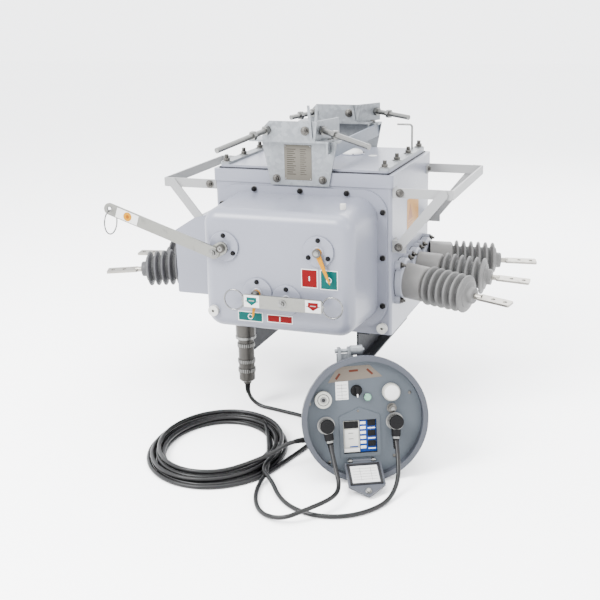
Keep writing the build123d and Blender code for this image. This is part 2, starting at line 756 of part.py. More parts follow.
def relay_modules():
    """The two rows of modules behind the window."""
    low = -recess_depth - window_depth
    high = -recess_depth - module_back_gap
    u0, u1 = window_low + 2 * module_edge, window_high - module_edge
    x0, x1 = window_x - window_w / 2 + module_edge, window_x + window_w / 2 - module_edge
    left = box(x0, window_x - module_gap, u0, u1, low, high)
    right = box(window_x + module_gap, x1, u0 + module_edge, u1, low, high)
    return [face * left, face * right]


def plug_head(x, u, lean):
    """A right-angled plug on the panel, and the point and way its cord leaves."""
    ring = Pos(x, u, panel_z + plug_ring_h / 2) * Cylinder(plug_ring_r, plug_ring_h)
    middle = plug_ring_h + plug_head_h / 2
    head = Pos(x, u, panel_z + middle) * Cylinder(plug_head_r, plug_head_h)
    start = Vector(x, u, panel_z + middle)
    end = start + Vector(lean, -1.0, plug_neck_rise).normalized() * plug_neck_len
    neck = rod(tuple(start), tuple(end), plug_neck_r)
    return face * (ring + head + neck), end


def stub(at, size):
    """A round fitting that stands on the panel."""
    return Pos(at[0], at[1], panel_z + size[1] / 2) * Cylinder(size[0], size[1])


def controller_fittings():
    """The white bush, the white cap, the lamp and the small fitting."""
    bush = stub(bush_at, bush_size)
    bush -= Pos(bush_at[0], bush_at[1], panel_z + bush_size[1]) * Cylinder(bush_eye_r, bush_size[1])
    cap = stub(cap_at, cap_size)
    cap = fillet(cap.faces().sort_by(Axis.Z)[-1].edges(), cap_round)
    return [face * item for item in (bush, cap, stub(lamp_at, lamp_size), stub(tap_at, tap_size))]


def controller_hanger(shell):
    """The saddle on the controller's top, with two eyes, a pin and a roller."""
    low = shell_back_r
    top = shell_r + (shell_back_r - shell_r) * (-saddle_depth / shell_len)
    shape = box(*saddle_x, low, top + saddle_h, saddle_depth - eye_t / 2, saddle_depth + eye_t / 2)
    for x in eye_x:
        shape += box(x, x + eye_t, low, top + eye_h, saddle_depth - eye_w / 2, saddle_depth + eye_w / 2)
    level = top + roller_h
    shape += rod((roller_pin_x[0], level, saddle_depth), (roller_pin_x[1], level, saddle_depth), roller_pin_r)
    shape += rod((roller_x[0], level, saddle_depth), (roller_x[1], level, saddle_depth), roller_r)
    return face * shape - shell


def flap():
    """The house-shaped door, hinged under the window and hanging open."""
    hinge = Vector(window_x, flap_hinge_u, panel_z + flap_hinge_out)
    swing = radians(flap_open)
    down = Vector(0, -cos(swing), sin(swing))
    plane = Plane(origin=hinge, x_dir=(1, 0, 0), z_dir=Vector(1, 0, 0).cross(down))
    half = flap_w / 2
    outline = make_face(Polyline(
        (-half, flap_start),
        (half, flap_start),
        (half, flap_side),
        (0, flap_len),
        (-half, flap_side),
        close=True,
    ))
    plate = extrude(outline, amount=flap_t / 2, both=True)
    plate = fillet(plate.edges().filter_by(Axis.Z), 4.0)
    leaf = Pos(0, flap_start / 2 + 1, 0) * Box(flap_knuckle_len, flap_start + 2, flap_t * 0.6)
    knuckle = Rot(0, 90, 0) * Cylinder(flap_knuckle_r, flap_knuckle_len)
    bore = Rot(0, 90, 0) * Cylinder(flap_pin_r + shaft_gap, flap_w)
    return face * (plane * (plate + leaf + knuckle - bore))


def flap_hinge():
    """The pin and its two lugs on the panel."""
    z = panel_z + flap_hinge_out
    lug_at = flap_knuckle_len / 2 + flap_lug_gap + flap_lug_t / 2
    reach = lug_at + flap_lug_t
    shape = rod((window_x - reach, flap_hinge_u, z), (window_x + reach, flap_hinge_u, z), flap_pin_r)
    for side in (-1, 1):
        x = window_x + side * lug_at
        low, high = flap_hinge_u - flap_knuckle_r, flap_hinge_u + flap_knuckle_r
        shape += box(x - flap_lug_t / 2, x + flap_lug_t / 2, low, high, panel_z, z)
        shape += rod((x - flap_lug_t / 2, flap_hinge_u, z), (x + flap_lug_t / 2, flap_hinge_u, z), flap_knuckle_r)
    return face * shape


def selector_knob():
    """The turning knob on the panel, with its grip and spindle."""
    disc = Pos(knob_x, knob_u, panel_z + 1 + knob_len / 4) * Cylinder(knob_r, knob_len / 2)
    grip = Pos(knob_x, knob_u, panel_z + 1 + knob_len * 0.7) * Box(8, 2 * knob_r + 2, knob_len * 0.6)
    spindle = Pos(knob_x, knob_u, panel_z - 0.5) * Cylinder(shaft_r / 2, 5)
    return face * (disc + grip + spindle)


def cord_tube(points):
    """A round cord along straight runs joined by the largest arcs that fit."""
    points = [Vector(*p) for p in points]
    radii = []
    for before, here, after in zip(points, points[1:], points[2:]):
        turn = (here - before).get_angle(after - here)
        shorter = min((here - before).length, (after - here).length)
        radii.append(0.45 * shorter / tan(radians(turn / 2)))
    path = FilletPolyline(*points, radius=radii)
    section = Plane(origin=path @ 0, z_dir=path % 0) * Circle(cord_r)
    tube = sweep(section, path=path)
    length = path.length
    print("cord", round(length), "radii", [round(r) for r in radii],
          "volume/ideal", round(tube.volume / (pi * cord_r ** 2 * length), 4))
    return tube


def coil():
    """The outer shape of the coiled cord."""
    outer = Ellipse(coil_a, coil_b)
    inner = Ellipse(coil_a - coil_w, coil_b - coil_w)
    ring = extrude(outer - inner, amount=coil_h)
    ring = fillet(ring.edges(), coil_round)
    return Pos(coil_x, coil_y, floor_z) * (Rot(0, 0, coil_turn) * ring)


# The routes of the four free lengths of cord, as points on their centre lines
cord_z = floor_z + cord_r + 0.5
cross_z = cord_z + 2 * cord_r + 3.0
feed_route = [
    (-160, -118, -206), (-143, -119, -234), (-112, -122, cord_z), (-72, -128, cord_z), (-20, -141, cord_z),
    (40, -153, cord_z), (95, -182, cord_z), (130, -237, cord_z), (143, -303, cord_z), (139, -370, cord_z),
    (120, -430, cord_z), (84, -482, cord_z),
]
left_route = [
    (298, -588, -184), (322, -632, -226), (331, -708, -222), (293, -786, -222), (236, -826, -240),
    (166, -800, cord_z), (120, -732, cord_z), (98, -652, cord_z), (99, -570, cord_z),
]
right_route = [
    (462, -503, -172), (476, -548, -222), (471, -620, cord_z), (441, -690, cord_z), (386, -745, cord_z),
    (310, -766, cord_z), (235, -745, cord_z), (176, -695, cord_z), (131, -635, cross_z), (82, -577, cross_z),
]
tail_route = [(150, -490, -178), (120, -506, -187), (94, -527, -208), (60, -556, -234)]


def build():
    """Make every piece and write it."""
    tank_solid = tank()
    cover = mechanism_cover()
    chamber_solid = chamber()
    save("tank", tank_solid)
    save("side_chamber", chamber_solid)
    save("lid", lid_plate())
    save("lid_strips", *lid_strips())
    save("lid_hook", lid_hook())
    save("mechanism_cover", cover)
    save("cover_vent", vent_plug(cover))
    save("boss_plates", *boss_plates())

    bar, near, far = charging_lever()
    save("charging_lever", bar)
    save("lever_crank", lever_crank(near))
    save("lever_ring", hanging_ring(far))
    rocker, rocker_shaft = trip_lever()
    save("trip_lever", rocker)
    save("trip_shaft", rocker_shaft)
    save("trip_ring_left", trip_ring(-1, rocker))
    save("trip_ring_right", trip_ring(1, rocker))
    save("position_pointer", pointer(position_x, position_z, position_len, position_angle))
    save("energy_pointer", pointer(energy_x, energy_z, energy_len, energy_angle))

    for side, name in ((1, "right"), (-1, "left")):
        arms, braces, bar = guard(side)
        if side < 0:
            braces = [piece - chamber_solid for piece in braces]
            braces = [piece.solids().sort_by(Axis.Z)[-1] for piece in braces]
        save(f"guard_arms_{name}", *arms)
        save(f"guard_braces_{name}", *braces)
        save(f"guard_bar_{name}", bar)
        for index, place in enumerate(("front", "middle", "rear")):
            save(f"bushing_{name}_{place}", bushing(side, index))
        save(f"collars_{name}", *[collar(side, index) for index in range(3)])
        save(f"terminals_{name}", *[terminal(side, index) for index in range(3)])

    save("hanger_front", hanger(-1))
    save("hanger_rear", hanger(1))
    save("hanger_beams", *beams())
    jaw_top = seat_z + jaw_h
    clamps = (
        clamp(0, 0, front_wing, jaw_top + horn_h),
        clamp(rear_clamp_shift, clamp_pitch, rear_wing, jaw_top),
    )
    save("clamp_front", clamps[0])
    save("clamp_rear", clamps[1])
    save("clamp_rods", *clamp_rods(clamps))
    save("feet", *feet())
    socket, plug, cord_top = connector(cover)
    save("cable_socket", socket)
    save("cable_plug", plug)
    save("earth_studs", *earth_studs(cover))

    shell, gland_at = controller_shell()
    save("controller_shell", shell)
    save("controller_panel", controller_panel())
    save("relay_modules", *relay_modules())
    left_plug, left_exit = plug_head(plug_x[0], plug_u, plug_lean)
    right_plug, right_exit = plug_head(plug_x[1], plug_u, -plug_lean / 2)
    save("controller_plugs", left_plug, right_plug)
    save("controller_fittings", *controller_fittings())
    save("controller_hanger", controller_hanger(shell))
    save("flap_hinge", flap_hinge())
    save("controller_flap", flap())
    save("selector_knob", selector_knob())

    ring = coil()
    save("cord_coil", ring)
    exits = [face.from_local_coords(point) for point in (left_exit, right_exit, Vector(*gland_at))]
    feed_start = (socket_x, socket_y, cord_top)
    routes = {
        "cord_feed": [feed_start] + feed_route,
        "cord_left": [tuple(exits[0])] + left_route,
        "cord_right": [tuple(exits[1])] + right_route,
        "cord_tail": [tuple(exits[2])] + tail_route,
    }
    carriers = {"cord_feed": plug, "cord_left": left_plug, "cord_right": right_plug, "cord_tail": shell}
    for name, route in routes.items():
        tube = cord_tube(route) - ring - carriers[name]
        save(name, tube.solids().sort_by(SortBy.VOLUME)[-1])


build()
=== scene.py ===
"""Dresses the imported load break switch: cords, finishes, fasteners, plates and the studio."""

from math import cos, pi, radians, sin

import bmesh
import bpy
from bpy.props import FloatProperty, FloatVectorProperty, IntProperty, PointerProperty
from mathutils import Matrix, Vector


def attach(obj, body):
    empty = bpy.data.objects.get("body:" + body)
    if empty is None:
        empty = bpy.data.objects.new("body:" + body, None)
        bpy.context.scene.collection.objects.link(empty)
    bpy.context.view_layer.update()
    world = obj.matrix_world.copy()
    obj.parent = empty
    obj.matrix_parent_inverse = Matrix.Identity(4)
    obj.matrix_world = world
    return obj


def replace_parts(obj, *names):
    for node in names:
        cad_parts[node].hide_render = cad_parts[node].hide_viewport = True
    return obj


bl_info = {
    "name": "Load break switch dresser",
    "version": (1, 0, 0),
    "blender": (4, 5, 0),
    "location": "View3D > Sidebar > Switch",
    "description": "Cords, finishes, fasteners, plates and studio for a pole-mounted load break switch",
    "category": "Object",
}

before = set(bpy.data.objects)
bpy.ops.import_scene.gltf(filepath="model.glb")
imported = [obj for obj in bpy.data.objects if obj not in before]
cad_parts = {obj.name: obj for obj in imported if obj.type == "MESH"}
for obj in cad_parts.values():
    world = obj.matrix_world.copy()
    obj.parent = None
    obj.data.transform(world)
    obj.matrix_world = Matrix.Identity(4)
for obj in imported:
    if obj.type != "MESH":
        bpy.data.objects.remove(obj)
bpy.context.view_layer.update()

# Sizes in this file are millimetres, counted from the middle of the foot of the tank's front
# wall: X to the right, Y to the back, Z up. ROW turns them into the frame's metres.
MM = 0.001
SEAT_Z = 624.0
ROW = Matrix.Scale(MM, 4) @ Matrix.Translation((0, 0, -SEAT_Z))

FRONT = -235.0
BOSS_FACE = FRONT - 7.0
WALL_X = 300.0
DEPTH = 485.0
LID_TOP = 531.0
STRIP_TOP = 539.0
FLOOR_Z = -256.0
BOSSES = {"charging": (-168, 322), "position": (141, 326), "energy": (-61, 182), "trip": (35, 166)}
BUSH_Y, BUSH_Z = (97.0, 242.0, 387.0), 165.0
BUSH_FAN, BUSH_DIP = 17.0, 3.0
CHAMBER_START = 40.0
CONNECTOR = (-160.0, -118.0)
# Thickness of a printed film or a thin label
FILM = 0.5


def row(x, y, z):
    """A point of the tank's millimetres as a point of the frame."""
    return ROW @ Vector((x, y, z))


def seat(origin, across, out):
    """A placing matrix: local X along across, local Z out of the surface."""
    z = Vector(out).normalized()
    x = Vector(across)
    x = (x - z * x.dot(z)).normalized()
    turn = Matrix((x, z.cross(x), z)).transposed().to_4x4()
    return Matrix.Translation(origin) @ turn


def facing_front(x, y, z):
    return seat((x, y, z), (1, 0, 0), (0, -1, 0))


def facing_rear(x, y, z):
    return seat((x, y, z), (-1, 0, 0), (0, 1, 0))


def facing_up(x, y, z):
    return seat((x, y, z), (1, 0, 0), (0, 0, 1))


def facing_down(x, y, z):
    return seat((x, y, z), (1, 0, 0), (0, 0, -1))


def facing_right(x, y, z):
    return seat((x, y, z), (0, 1, 0), (1, 0, 0))


def facing_left(x, y, z):
    return seat((x, y, z), (0, -1, 0), (-1, 0, 0))


CONTROLLER = (365.0, -495.0, -79.0)
CONTROLLER_TURN, CONTROLLER_RISE = radians(27), radians(11)
PANEL = -22.0
DIAL = seat(
    CONTROLLER,
    (cos(CONTROLLER_TURN), sin(CONTROLLER_TURN), 0),
    (
        sin(CONTROLLER_TURN) * cos(CONTROLLER_RISE),
        -cos(CONTROLLER_TURN) * cos(CONTROLLER_RISE),
        sin(CONTROLLER_RISE),
    ),
)


def on_panel(x, u, out=0.0):
    """On the controller's panel, local Y up the face."""
    return shifted(DIAL, x, u, PANEL + out)


def turned(place, degrees):
    return place @ Matrix.Rotation(radians(degrees), 4, "Z")


def shifted(place, x=0.0, y=0.0, z=0.0):
    """A place moved along its own axes."""
    return place @ Matrix.Translation((x, y, z))


def around(x, y, radius, degrees):
    """Each angle with its point on a circle round a centre."""
    turns = [(angle, radians(angle)) for angle in degrees]
    return [(angle, x + radius * cos(turn), y + radius * sin(turn)) for angle, turn in turns]


def bush_axis(side, index):
    """The placing matrix of one bushing, local Z out along it."""
    fan, dip = radians((index - 1) * BUSH_FAN), radians(BUSH_DIP)
    out = (side * cos(fan) * cos(dip), sin(fan) * cos(dip), -sin(dip))
    start = WALL_X if side > 0 else WALL_X + CHAMBER_START
    return seat((side * start, BUSH_Y[index], BUSH_Z), Vector(out).cross((0, 0, 1)), out)


class Value:
    """A socket that takes part in expressions; each operator adds its Math node."""

    def __init__(self, finish, socket):
        self.finish, self.socket = finish, socket

    def math(self, operation, *others):
        return self.finish.node("Math", {"operation": operation}, *others)

    def __add__(self, other):
        return self.math("ADD", self, other)

    def __mul__(self, other):
        return self.math("MULTIPLY", self, other)

    __radd__ = __add__
    __rmul__ = __mul__


class Finish:
    """One surface finish, built from nodes on the piece's own coordinates."""

    def __init__(self, name, roughness=0.4, metallic=0.0, coat=0.0, coat_rough=0.1, specular=0.5):
        self.material = bpy.data.materials.new(name)
        self.material.use_nodes = True
        self.tree = self.material.node_tree
        self.shader = self.tree.nodes["Principled BSDF"]
        self.shader.inputs["Metallic"].default_value = metallic
        self.shader.inputs["Roughness"].default_value = roughness
        self.shader.inputs["Coat Weight"].default_value = coat
        self.shader.inputs["Coat Roughness"].default_value = coat_rough
        self.shader.inputs["Specular IOR Level"].default_value = specular
        self.place = self.node("TexCoord", {}, output="Object")

    def node(self, kind, settings, *values, output=0, **named):
        """Add a node of a type: settings first, then the values or links of its sockets."""
        made = self.tree.nodes.new("ShaderNode" + kind)
        for key, value in settings.items():
            setattr(made, key, value)
        for key, value in [*enumerate(values), *named.items()]:
            self.link(made.inputs[key], value)
        return Value(self, made.outputs[output])

    def link(self, socket, value):
        if isinstance(value, Value):
            self.tree.links.new(value.socket, socket)
        elif isinstance(value, tuple) and len(value) == 3 and socket.type == "RGBA":
            socket.default_value = (*value, 1)
        elif value is not None:
            socket.default_value = value

    def noise(self, scale, detail=3.0, rough=0.5, at=None):
        at = at or self.place
        return self.node("TexNoise", {}, Vector=at, Scale=scale, Detail=detail, Roughness=rough)

    def stretched(self, x, y, z):
        return self.node("Mapping", {}, self.place, Scale=(x, y, z))

    def mix(self, factor, first, second):
        """Two colours blended by a factor."""
        unused = [None] * 5
        return self.node("Mix", {"data_type": "RGBA"}, factor, *unused, first, second, output=2)

    def step(self, value, low, high):
        """Smooth 0 to 1 as the value goes from low to high."""
        return self.node("MapRange", {"interpolation_type": "SMOOTHSTEP"}, value, low, high)

    def set(self, **sockets):
        for name, value in sockets.items():
            self.link(self.shader.inputs[name.replace("_", " ")], value)
        return self

    def bump(self, value, strength, depth):
        made = self.node("Bump", {}, Strength=strength, Distance=depth, Height=value)
        return self.set(Normal=made)


def shade(colour, factor):
    return tuple(min(1.0, c * factor) for c in colour)


def powder(name, colour, roughness=0.36, coat=0.0, peel=420.0, specular=0.25):
    """Sprayed paint: a fine orange peel, soft clouding and a little dust."""
    f = Finish(name, coat=coat, coat_rough=0.22, specular=specular)
    cloud = f.step(f.noise(5.0, 4.0), 0.35, 0.68)
    dust = f.step(f.noise(38.0, 6.0, 0.65), 0.56, 0.78)
    base = f.mix(cloud, shade(colour, 0.965), shade(colour, 1.02))
    base = f.mix(dust * 0.14, base, shade(colour, 0.86))
    f.set(Base_Color=base, Roughness=cloud * 0.05 + dust * 0.10 + roughness)
    return f.bump(f.noise(peel, 2.0) * 0.7 + f.noise(peel * 0.22, 2.0) * 0.3, 0.22, 0.0006)


def galvanised(name, colour):
    """Hot-dip zinc: crystals of slightly different greys and dull runs."""
    f = Finish(name, metallic=0.75)
    spangle = f.node("TexVoronoi", {}, Vector=f.place, Scale=95.0, Randomness=1.0, output="Color")
    grain = f.node("SeparateColor", {}, spangle)
    cloud = f.noise(14.0, 5.0, 0.6)
    base = f.mix(grain, shade(colour, 0.84), shade(colour, 1.12))
    base = f.mix(f.step(cloud, 0.52, 0.72) * 0.45, base, shade(colour, 0.80))
    f.set(Base_Color=base, Roughness=grain * 0.16 + cloud * 0.22 + 0.26)
    return f.bump(f.noise(260.0, 3.0), 0.12, 0.0005)


def plated(name, colour, roughness=0.26, lines=0.10):
    """Plated or bright steel with drawn lines and handling marks."""
    f = Finish(name, metallic=1.0)
    drawn = f.noise(60.0, 3.0, 0.6, f.stretched(6.0, 6.0, 0.6))
    marks = f.step(f.noise(34.0, 5.0, 0.6), 0.50, 0.72)
    base = f.mix(marks * 0.5, colour, shade(colour, 0.74))
    f.set(Base_Color=base, Roughness=drawn * lines + marks * 0.14 + roughness)
    return f.bump(drawn, 0.06, 0.0004)


def rubber(name, colour, roughness=0.55, dusty=0.25):
    """Moulded rubber with a faint bloom."""
    f = Finish(name, specular=0.22)
    bloom = f.step(f.noise(24.0, 5.0, 0.6), 0.42, 0.72)
    base = f.mix(bloom * dusty, colour, shade(colour, 1.55))
    f.set(Base_Color=base, Roughness=bloom * 0.12 + roughness)
    return f.bump(f.noise(520.0, 2.0), 0.10, 0.0004)


def plastic(name, colour, roughness=0.38, coat=0.0, specular=0.25):
    """Moulded plastic with a fine texture."""
    f = Finish(name, coat=coat, specular=specular)
    cloud = f.noise(30.0, 3.0)
    base = f.mix(f.step(cloud, 0.4, 0.7), shade(colour, 0.95), shade(colour, 1.04))
    f.set(Base_Color=base, Roughness=cloud * 0.12 + roughness)
    return f.bump(f.noise(700.0, 2.0), 0.08, 0.0003)


def ink(name, colour, roughness=0.3):
    """A printed plate or sticker under a thin clear film."""
    f = Finish(name, specular=0.06)
    wear = f.step(f.noise(90.0, 5.0, 0.6), 0.60, 0.75)
    f.set(Base_Color=f.mix(wear * 0.22, colour, shade(colour, 0.82)), Roughness=wear * 0.2 + roughness)
    return f.bump(f.noise(60.0, 2.0), 0.04, 0.0003)


LOOKS = {}
# Edges that turn by more than this are rounded
SHARP = radians(40)
WASHER_T = 2.0


def looks(sizes):
    """Make every finish once."""
    LOOKS.update(
        tank=powder("Tank_powder_coat", tuple(sizes.tank_colour), 0.34, 0.10, specular=0.4),
        guard=powder("Guard_powder_coat", (0.17, 0.172, 0.173), 0.42),
        beam=powder("Beam_paint", (0.066, 0.078, 0.098), 0.42),
        foot=powder("Foot_paint", (0.012, 0.013, 0.016), 0.55, specular=0.12),
        collar=powder("Collar_paint", (0.165, 0.172, 0.20), 0.34, 0.1),
        controller=powder("Controller_paint", tuple(sizes.controller_colour), 0.40, 0.05, 300.0),
        panel=powder("Controller_panel_paint", (0.040, 0.047, 0.055), 0.46, 0.0, 360.0, 0.15),
        yellow=powder("Pointer_enamel", (0.27, 0.115, 0.0), 0.4, specular=0.06),
        zinc=galvanised("Hot_dip_zinc", (0.155, 0.165, 0.175)),
        plated=plated("Plated_steel", (0.15, 0.15, 0.145)),
        bar=plated("Rolled_bar_zinc", (0.150, 0.150, 0.138), 0.36),
        bolt=plated("Bolt_steel", (0.070, 0.067, 0.062), 0.28),
        bright=plated("Bright_wire", (0.13, 0.13, 0.13), 0.14, 0.05),
        dark_steel=plated("Browned_steel", (0.045, 0.043, 0.040), 0.34),
        tinned=plated("Tinned_copper", (0.21, 0.20, 0.18), 0.30),
        silicone=rubber("Silicone_grey", (0.074, 0.073, 0.072), 0.50, 0.20),
        # A lighter copy of the bushings' silicone for the right bushings' foot: painted light
        silicone_foot=rubber("Silicone_foot_painted_light", (0.094, 0.092, 0.089), 0.42, 0.15),
        # Darker silicone for the core between the sheds: painted shade in the grooves
        silicone_core=rubber("Silicone_core_painted_shade", (0.026, 0.026, 0.026), 0.60, 0.20),
        # A darker copy of the bushings' silicone for the left bushings: painted shade
        silicone_dark=rubber("Silicone_painted_shade", (0.038, 0.038, 0.040), 0.50, 0.20),
        gasket=rubber("Gasket_rubber", (0.005, 0.005, 0.006), 0.6, 0.3),
        cord=rubber("Cord_sheath", tuple(sizes.cord_colour), 0.36, 0.35),
        black=plastic("Black_plastic", (0.0016, 0.0016, 0.0018), 0.5, 0.0, 0.10),
        white_plastic=plastic("White_nylon", (0.34, 0.34, 0.32), 0.32, 0.2),
        ivory=plastic("Ivory_plastic", (0.22, 0.22, 0.20), 0.4),
        blue=plastic("Blue_plastic", (0.002, 0.018, 0.10), 0.4, 0.0, 0.1),
        lamp=plastic("Green_lens", (0.085, 0.19, 0.13), 0.12, 0.5),
        white=ink("White_ink", (0.40, 0.40, 0.395)),
        red=ink("Red_ink", (0.085, 0.0002, 0.0012)),
        green=ink("Green_ink", (0.0, 0.042, 0.038)),
        sun=ink("Yellow_ink", (0.24, 0.105, 0.002)),
        amber=ink("Amber_ink", (0.15, 0.045, 0.001)),
        beige=ink("Beige_ink", (0.078, 0.066, 0.054)),
        rust=ink("Rust_red_ink", (0.045, 0.012, 0.007)),
        grey_ink=ink("Grey_ink", (0.022, 0.022, 0.024)),
        plate=ink("Etched_plate", (0.082, 0.076, 0.064), 0.42),
        text=ink("Etched_text", (0.030, 0.027, 0.023), 0.5),
    )


def connected(verts):
    """Every vertex that hangs together with the given ones, in the order it is met."""
    found, ends = dict.fromkeys(verts), list(verts)
    while ends:
        for edge in ends.pop().link_edges:
            new = [vert for vert in edge.verts if vert not in found]
            found.update(dict.fromkeys(new))
            ends += new
    return list(found)


class Piece:
    """One mesh under construction, in the tank's millimetres."""

    def __init__(self, name, look, body="switch", slot=None):
        self.name, self.looks, self.body, self.slot = name, [look], body, slot
        self.bm = bmesh.new()

    def take(self, made, place, look):
        """Move what an operator has just made to its place and give it its finish."""
        bmesh.ops.transform(self.bm, matrix=place, verts=made)
        if look and look not in self.looks:
            self.looks.append(look)
        index = self.looks.index(look) if look else 0
        for face in {face for vert in made for face in vert.link_faces}:
            face.material_index = index
        return self

    def soften(self, verts, size, segments=2):
        """Round the edges that turn sharply."""
        edges = dict.fromkeys(edge for vert in verts for edge in vert.link_edges)
        sharp = [edge for edge in edges if len(edge.link_faces) == 2 and edge.calc_face_angle() > SHARP]
        made = bmesh.ops.bevel(
            self.bm, geom=sharp, offset=size, offset_type="OFFSET", segments=segments,
            profile=0.5, affect="EDGES", material=-1, clamp_overlap=True,
        )
        kept = [vert for vert in verts if vert.is_valid]
        return list(dict.fromkeys(kept + made["verts"]))

    def rod(self, place, radius, height, top=None, sides=32, soft=0.0, look=None):
        """A round or many-sided bar that stands on its place."""
        made = bmesh.ops.create_cone(
            self.bm, cap_ends=True, segments=sides, radius1=radius,
            radius2=radius if top is None else top, depth=height,
        )["verts"]
        if soft:
            made = self.soften(made, soft)
        return self.take(made, shifted(place, z=height / 2), look)

    def block(self, place, width, depth, height, soft=0.0, look=None):
        """A block that stands on its place."""
        made = bmesh.ops.create_cube(self.bm, size=1.0)["verts"]
        bmesh.ops.scale(self.bm, vec=(width, depth, height), verts=made)
        if soft:
            made = self.soften(made, soft)
        return self.take(made, shifted(place, z=height / 2), look)

    def outline(self, place, points, height, soft=0.0, look=None):
        """A flat outline pushed up by a height."""
        verts = [self.bm.verts.new((x, y, 0)) for x, y in points]
        face = self.bm.faces.new(verts)
        grown = bmesh.ops.extrude_face_region(self.bm, geom=[face])
        lifted = [item for item in grown["geom"] if isinstance(item, bmesh.types.BMVert)]
        bmesh.ops.translate(self.bm, vec=(0, 0, height), verts=lifted)
        made = verts + lifted
        bmesh.ops.recalc_face_normals(self.bm, faces=list({f for v in made for f in v.link_faces}))
        if soft:
            made = self.soften(made, soft)
        return self.take(made, place, look)

    def lathe(self, place, profile, steps=48, look=None):
        """A profile of (radius, height) points spun round the local Z axis."""
        verts = [self.bm.verts.new((radius, 0, height)) for radius, height in profile]
        edges = [self.bm.edges.new(pair) for pair in zip(verts, verts[1:])]
        bmesh.ops.spin(
            self.bm, geom=verts + edges, cent=(0, 0, 0), axis=(0, 0, 1),
            angle=2 * pi, steps=steps, use_merge=True,
        )
        made = connected(verts)
        bmesh.ops.remove_doubles(self.bm, verts=made, dist=0.01)
        made = [vert for vert in made if vert.is_valid]
        bmesh.ops.recalc_face_normals(self.bm, faces=list({f for v in made for f in v.link_faces}))
        return self.take(made, place, look)

    def ring(self, place, radius, wire, steps=40, sides=10, look=None):
        """A round wire ring."""
        turn = [2 * pi * i / sides for i in range(sides + 1)]
        return self.lathe(place, [(radius + wire * cos(a), wire * sin(a)) for a in turn], steps, look)

    def hex_bolt(self, place, across, head=0.0, washer=0.0, look=None):
        """A hexagon head on its washer, its rim turned."""
        head = head or across * 0.38
        if washer:
            self.rod(place, washer, WASHER_T, sides=28, soft=0.5, look=look)
            place = shifted(place, z=WASHER_T)
        self.rod(place, across * 0.575, head, sides=6, soft=across * 0.05, look=look)
        return self.rod(shifted(place, z=head), across * 0.40, across * 0.03, sides=20, look=look)

    def nut(self, place, across, stud, look=None):
        """A nut with the end of its stud standing out."""
        self.hex_bolt(place, across, across * 0.5, across * 0.8, look)
        height = WASHER_T + across * 0.5 + stud
        return self.rod(place, across * 0.30, height, sides=16, soft=0.6, look=look)

    def finish(self):
        """Turn the mesh into a piece that rides on its body."""
        mesh = bpy.data.meshes.new(self.name)
        bmesh.ops.transform(self.bm, matrix=ROW, verts=self.bm.verts)
        self.bm.to_mesh(mesh)
        self.bm.free()
        mesh.shade_smooth()
        mesh.set_sharp_from_angle(angle=radians(35))
        for look in self.looks:
            mesh.materials.append(LOOKS[look].material)
        made = bpy.data.objects.new(self.name, mesh)
        bpy.context.scene.collection.objects.link(made)
        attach(made, self.body)
        return made


def coat(look, *nodes):
    """Give a finish to the solids that stay as they are."""
    for name in nodes:
        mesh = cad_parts[name].data
        mesh.materials.clear()
        mesh.materials.append(LOOKS[look].material)


class SwitchSizes(bpy.types.PropertyGroup):
    """Sizes and colours of the switch that a user would change."""

    tank_colour: FloatVectorProperty(
        name="Tank colour", description="Powder coat of the tank, lid and cover",
        subtype="COLOR", size=3, min=0, max=1, default=(0.118, 0.124, 0.152),
    )
    controller_colour: FloatVectorProperty(
        name="Controller colour", description="Paint of the round controller's housing",
        subtype="COLOR", size=3, min=0, max=1, default=(0.028, 0.031, 0.039),
    )
    cord_colour: FloatVectorProperty(
        name="Cord colour", description="Sheath of the control cable",
        subtype="COLOR", size=3, min=0, max=1, default=(0.0028, 0.0028, 0.003),
    )
    cord_width: FloatProperty(
        name="Cord diameter", description="Outside diameter of the control cable",
        unit="LENGTH", default=0.0125, min=0.008, max=0.016,
    )
    bolt_across: FloatProperty(
        name="Bolt size", description="Width across flats of the cover's bolt heads, in millimetres",
        default=13.0, min=10.0, max=16.0,
    )
    shed_steps: IntProperty(
        name="Bushing facets", description="Facets round each bushing", default=56, min=24, max=96,
    )


class StudioSizes(bpy.types.PropertyGroup):
    """The camera and light of the studio."""

    lens: FloatProperty(
        name="Lens", description="Focal length", unit="CAMERA", default=62.58, min=35, max=120,
    )
    floor_colour: FloatVectorProperty(
        name="Floor colour", description="Plain floor under the object",
        subtype="COLOR", size=3, min=0, max=1, default=(0.97, 0.97, 0.97),
    )
    key_power: FloatProperty(
        name="Key light", description="Power of the large soft light", unit="POWER", default=520.0, min=0,
    )
    sky_strength: FloatProperty(
        name="Sky", description="Strength of the even light from all round", default=4.3, min=0,
    )


# The cable's two cords, as the points of their routes
FEED = [
    (-160, -118, -172), (-160, -118, -206), (-143, -119, -234), (-112, -122, -249.25),
    (-72, -128, -249.25), (-20, -141, -249.25), (40, -153, -249.25), (95, -182, -249.25),
    (130, -237, -249.25), (143, -303, -249.25), (139, -370, -249.25),
]
LEFT = [
    (99, -570, -236), (98, -652, -246), (120, -732, -249.25), (166, -800, -249.25),
    (236, -826, -240), (293, -786, -222), (338, -708, -222), (334, -634, -226),
    (304, -590, -184), (280.2, -557.5, -134.1),
]
RIGHT = [
    (446.7, -472.7, -134.4), (462, -503, -172), (476, -548, -222), (471, -620, -249.25),
    (441, -690, -249.25), (386, -745, -249.25), (310, -766, -249.25), (235, -745, -249.25),
    (176, -695, -249.25), (131, -635, -233.75),
]
TAIL = [(94, -527, -208), (120, -506, -187), (150, -490, -178), (177.7, -474.3, -175.5)]
COIL_AT, COIL_TURN = (-108.0, -465.0), radians(12)
COIL_MID = (185.0, 225.0)
# Heights of the cord's middle: on the floor, on one layer and on two
CORD_LOW, CORD_LIFT, CORD_TOP = FLOOR_Z + 6.75, 13.2, FLOOR_Z + 34.25
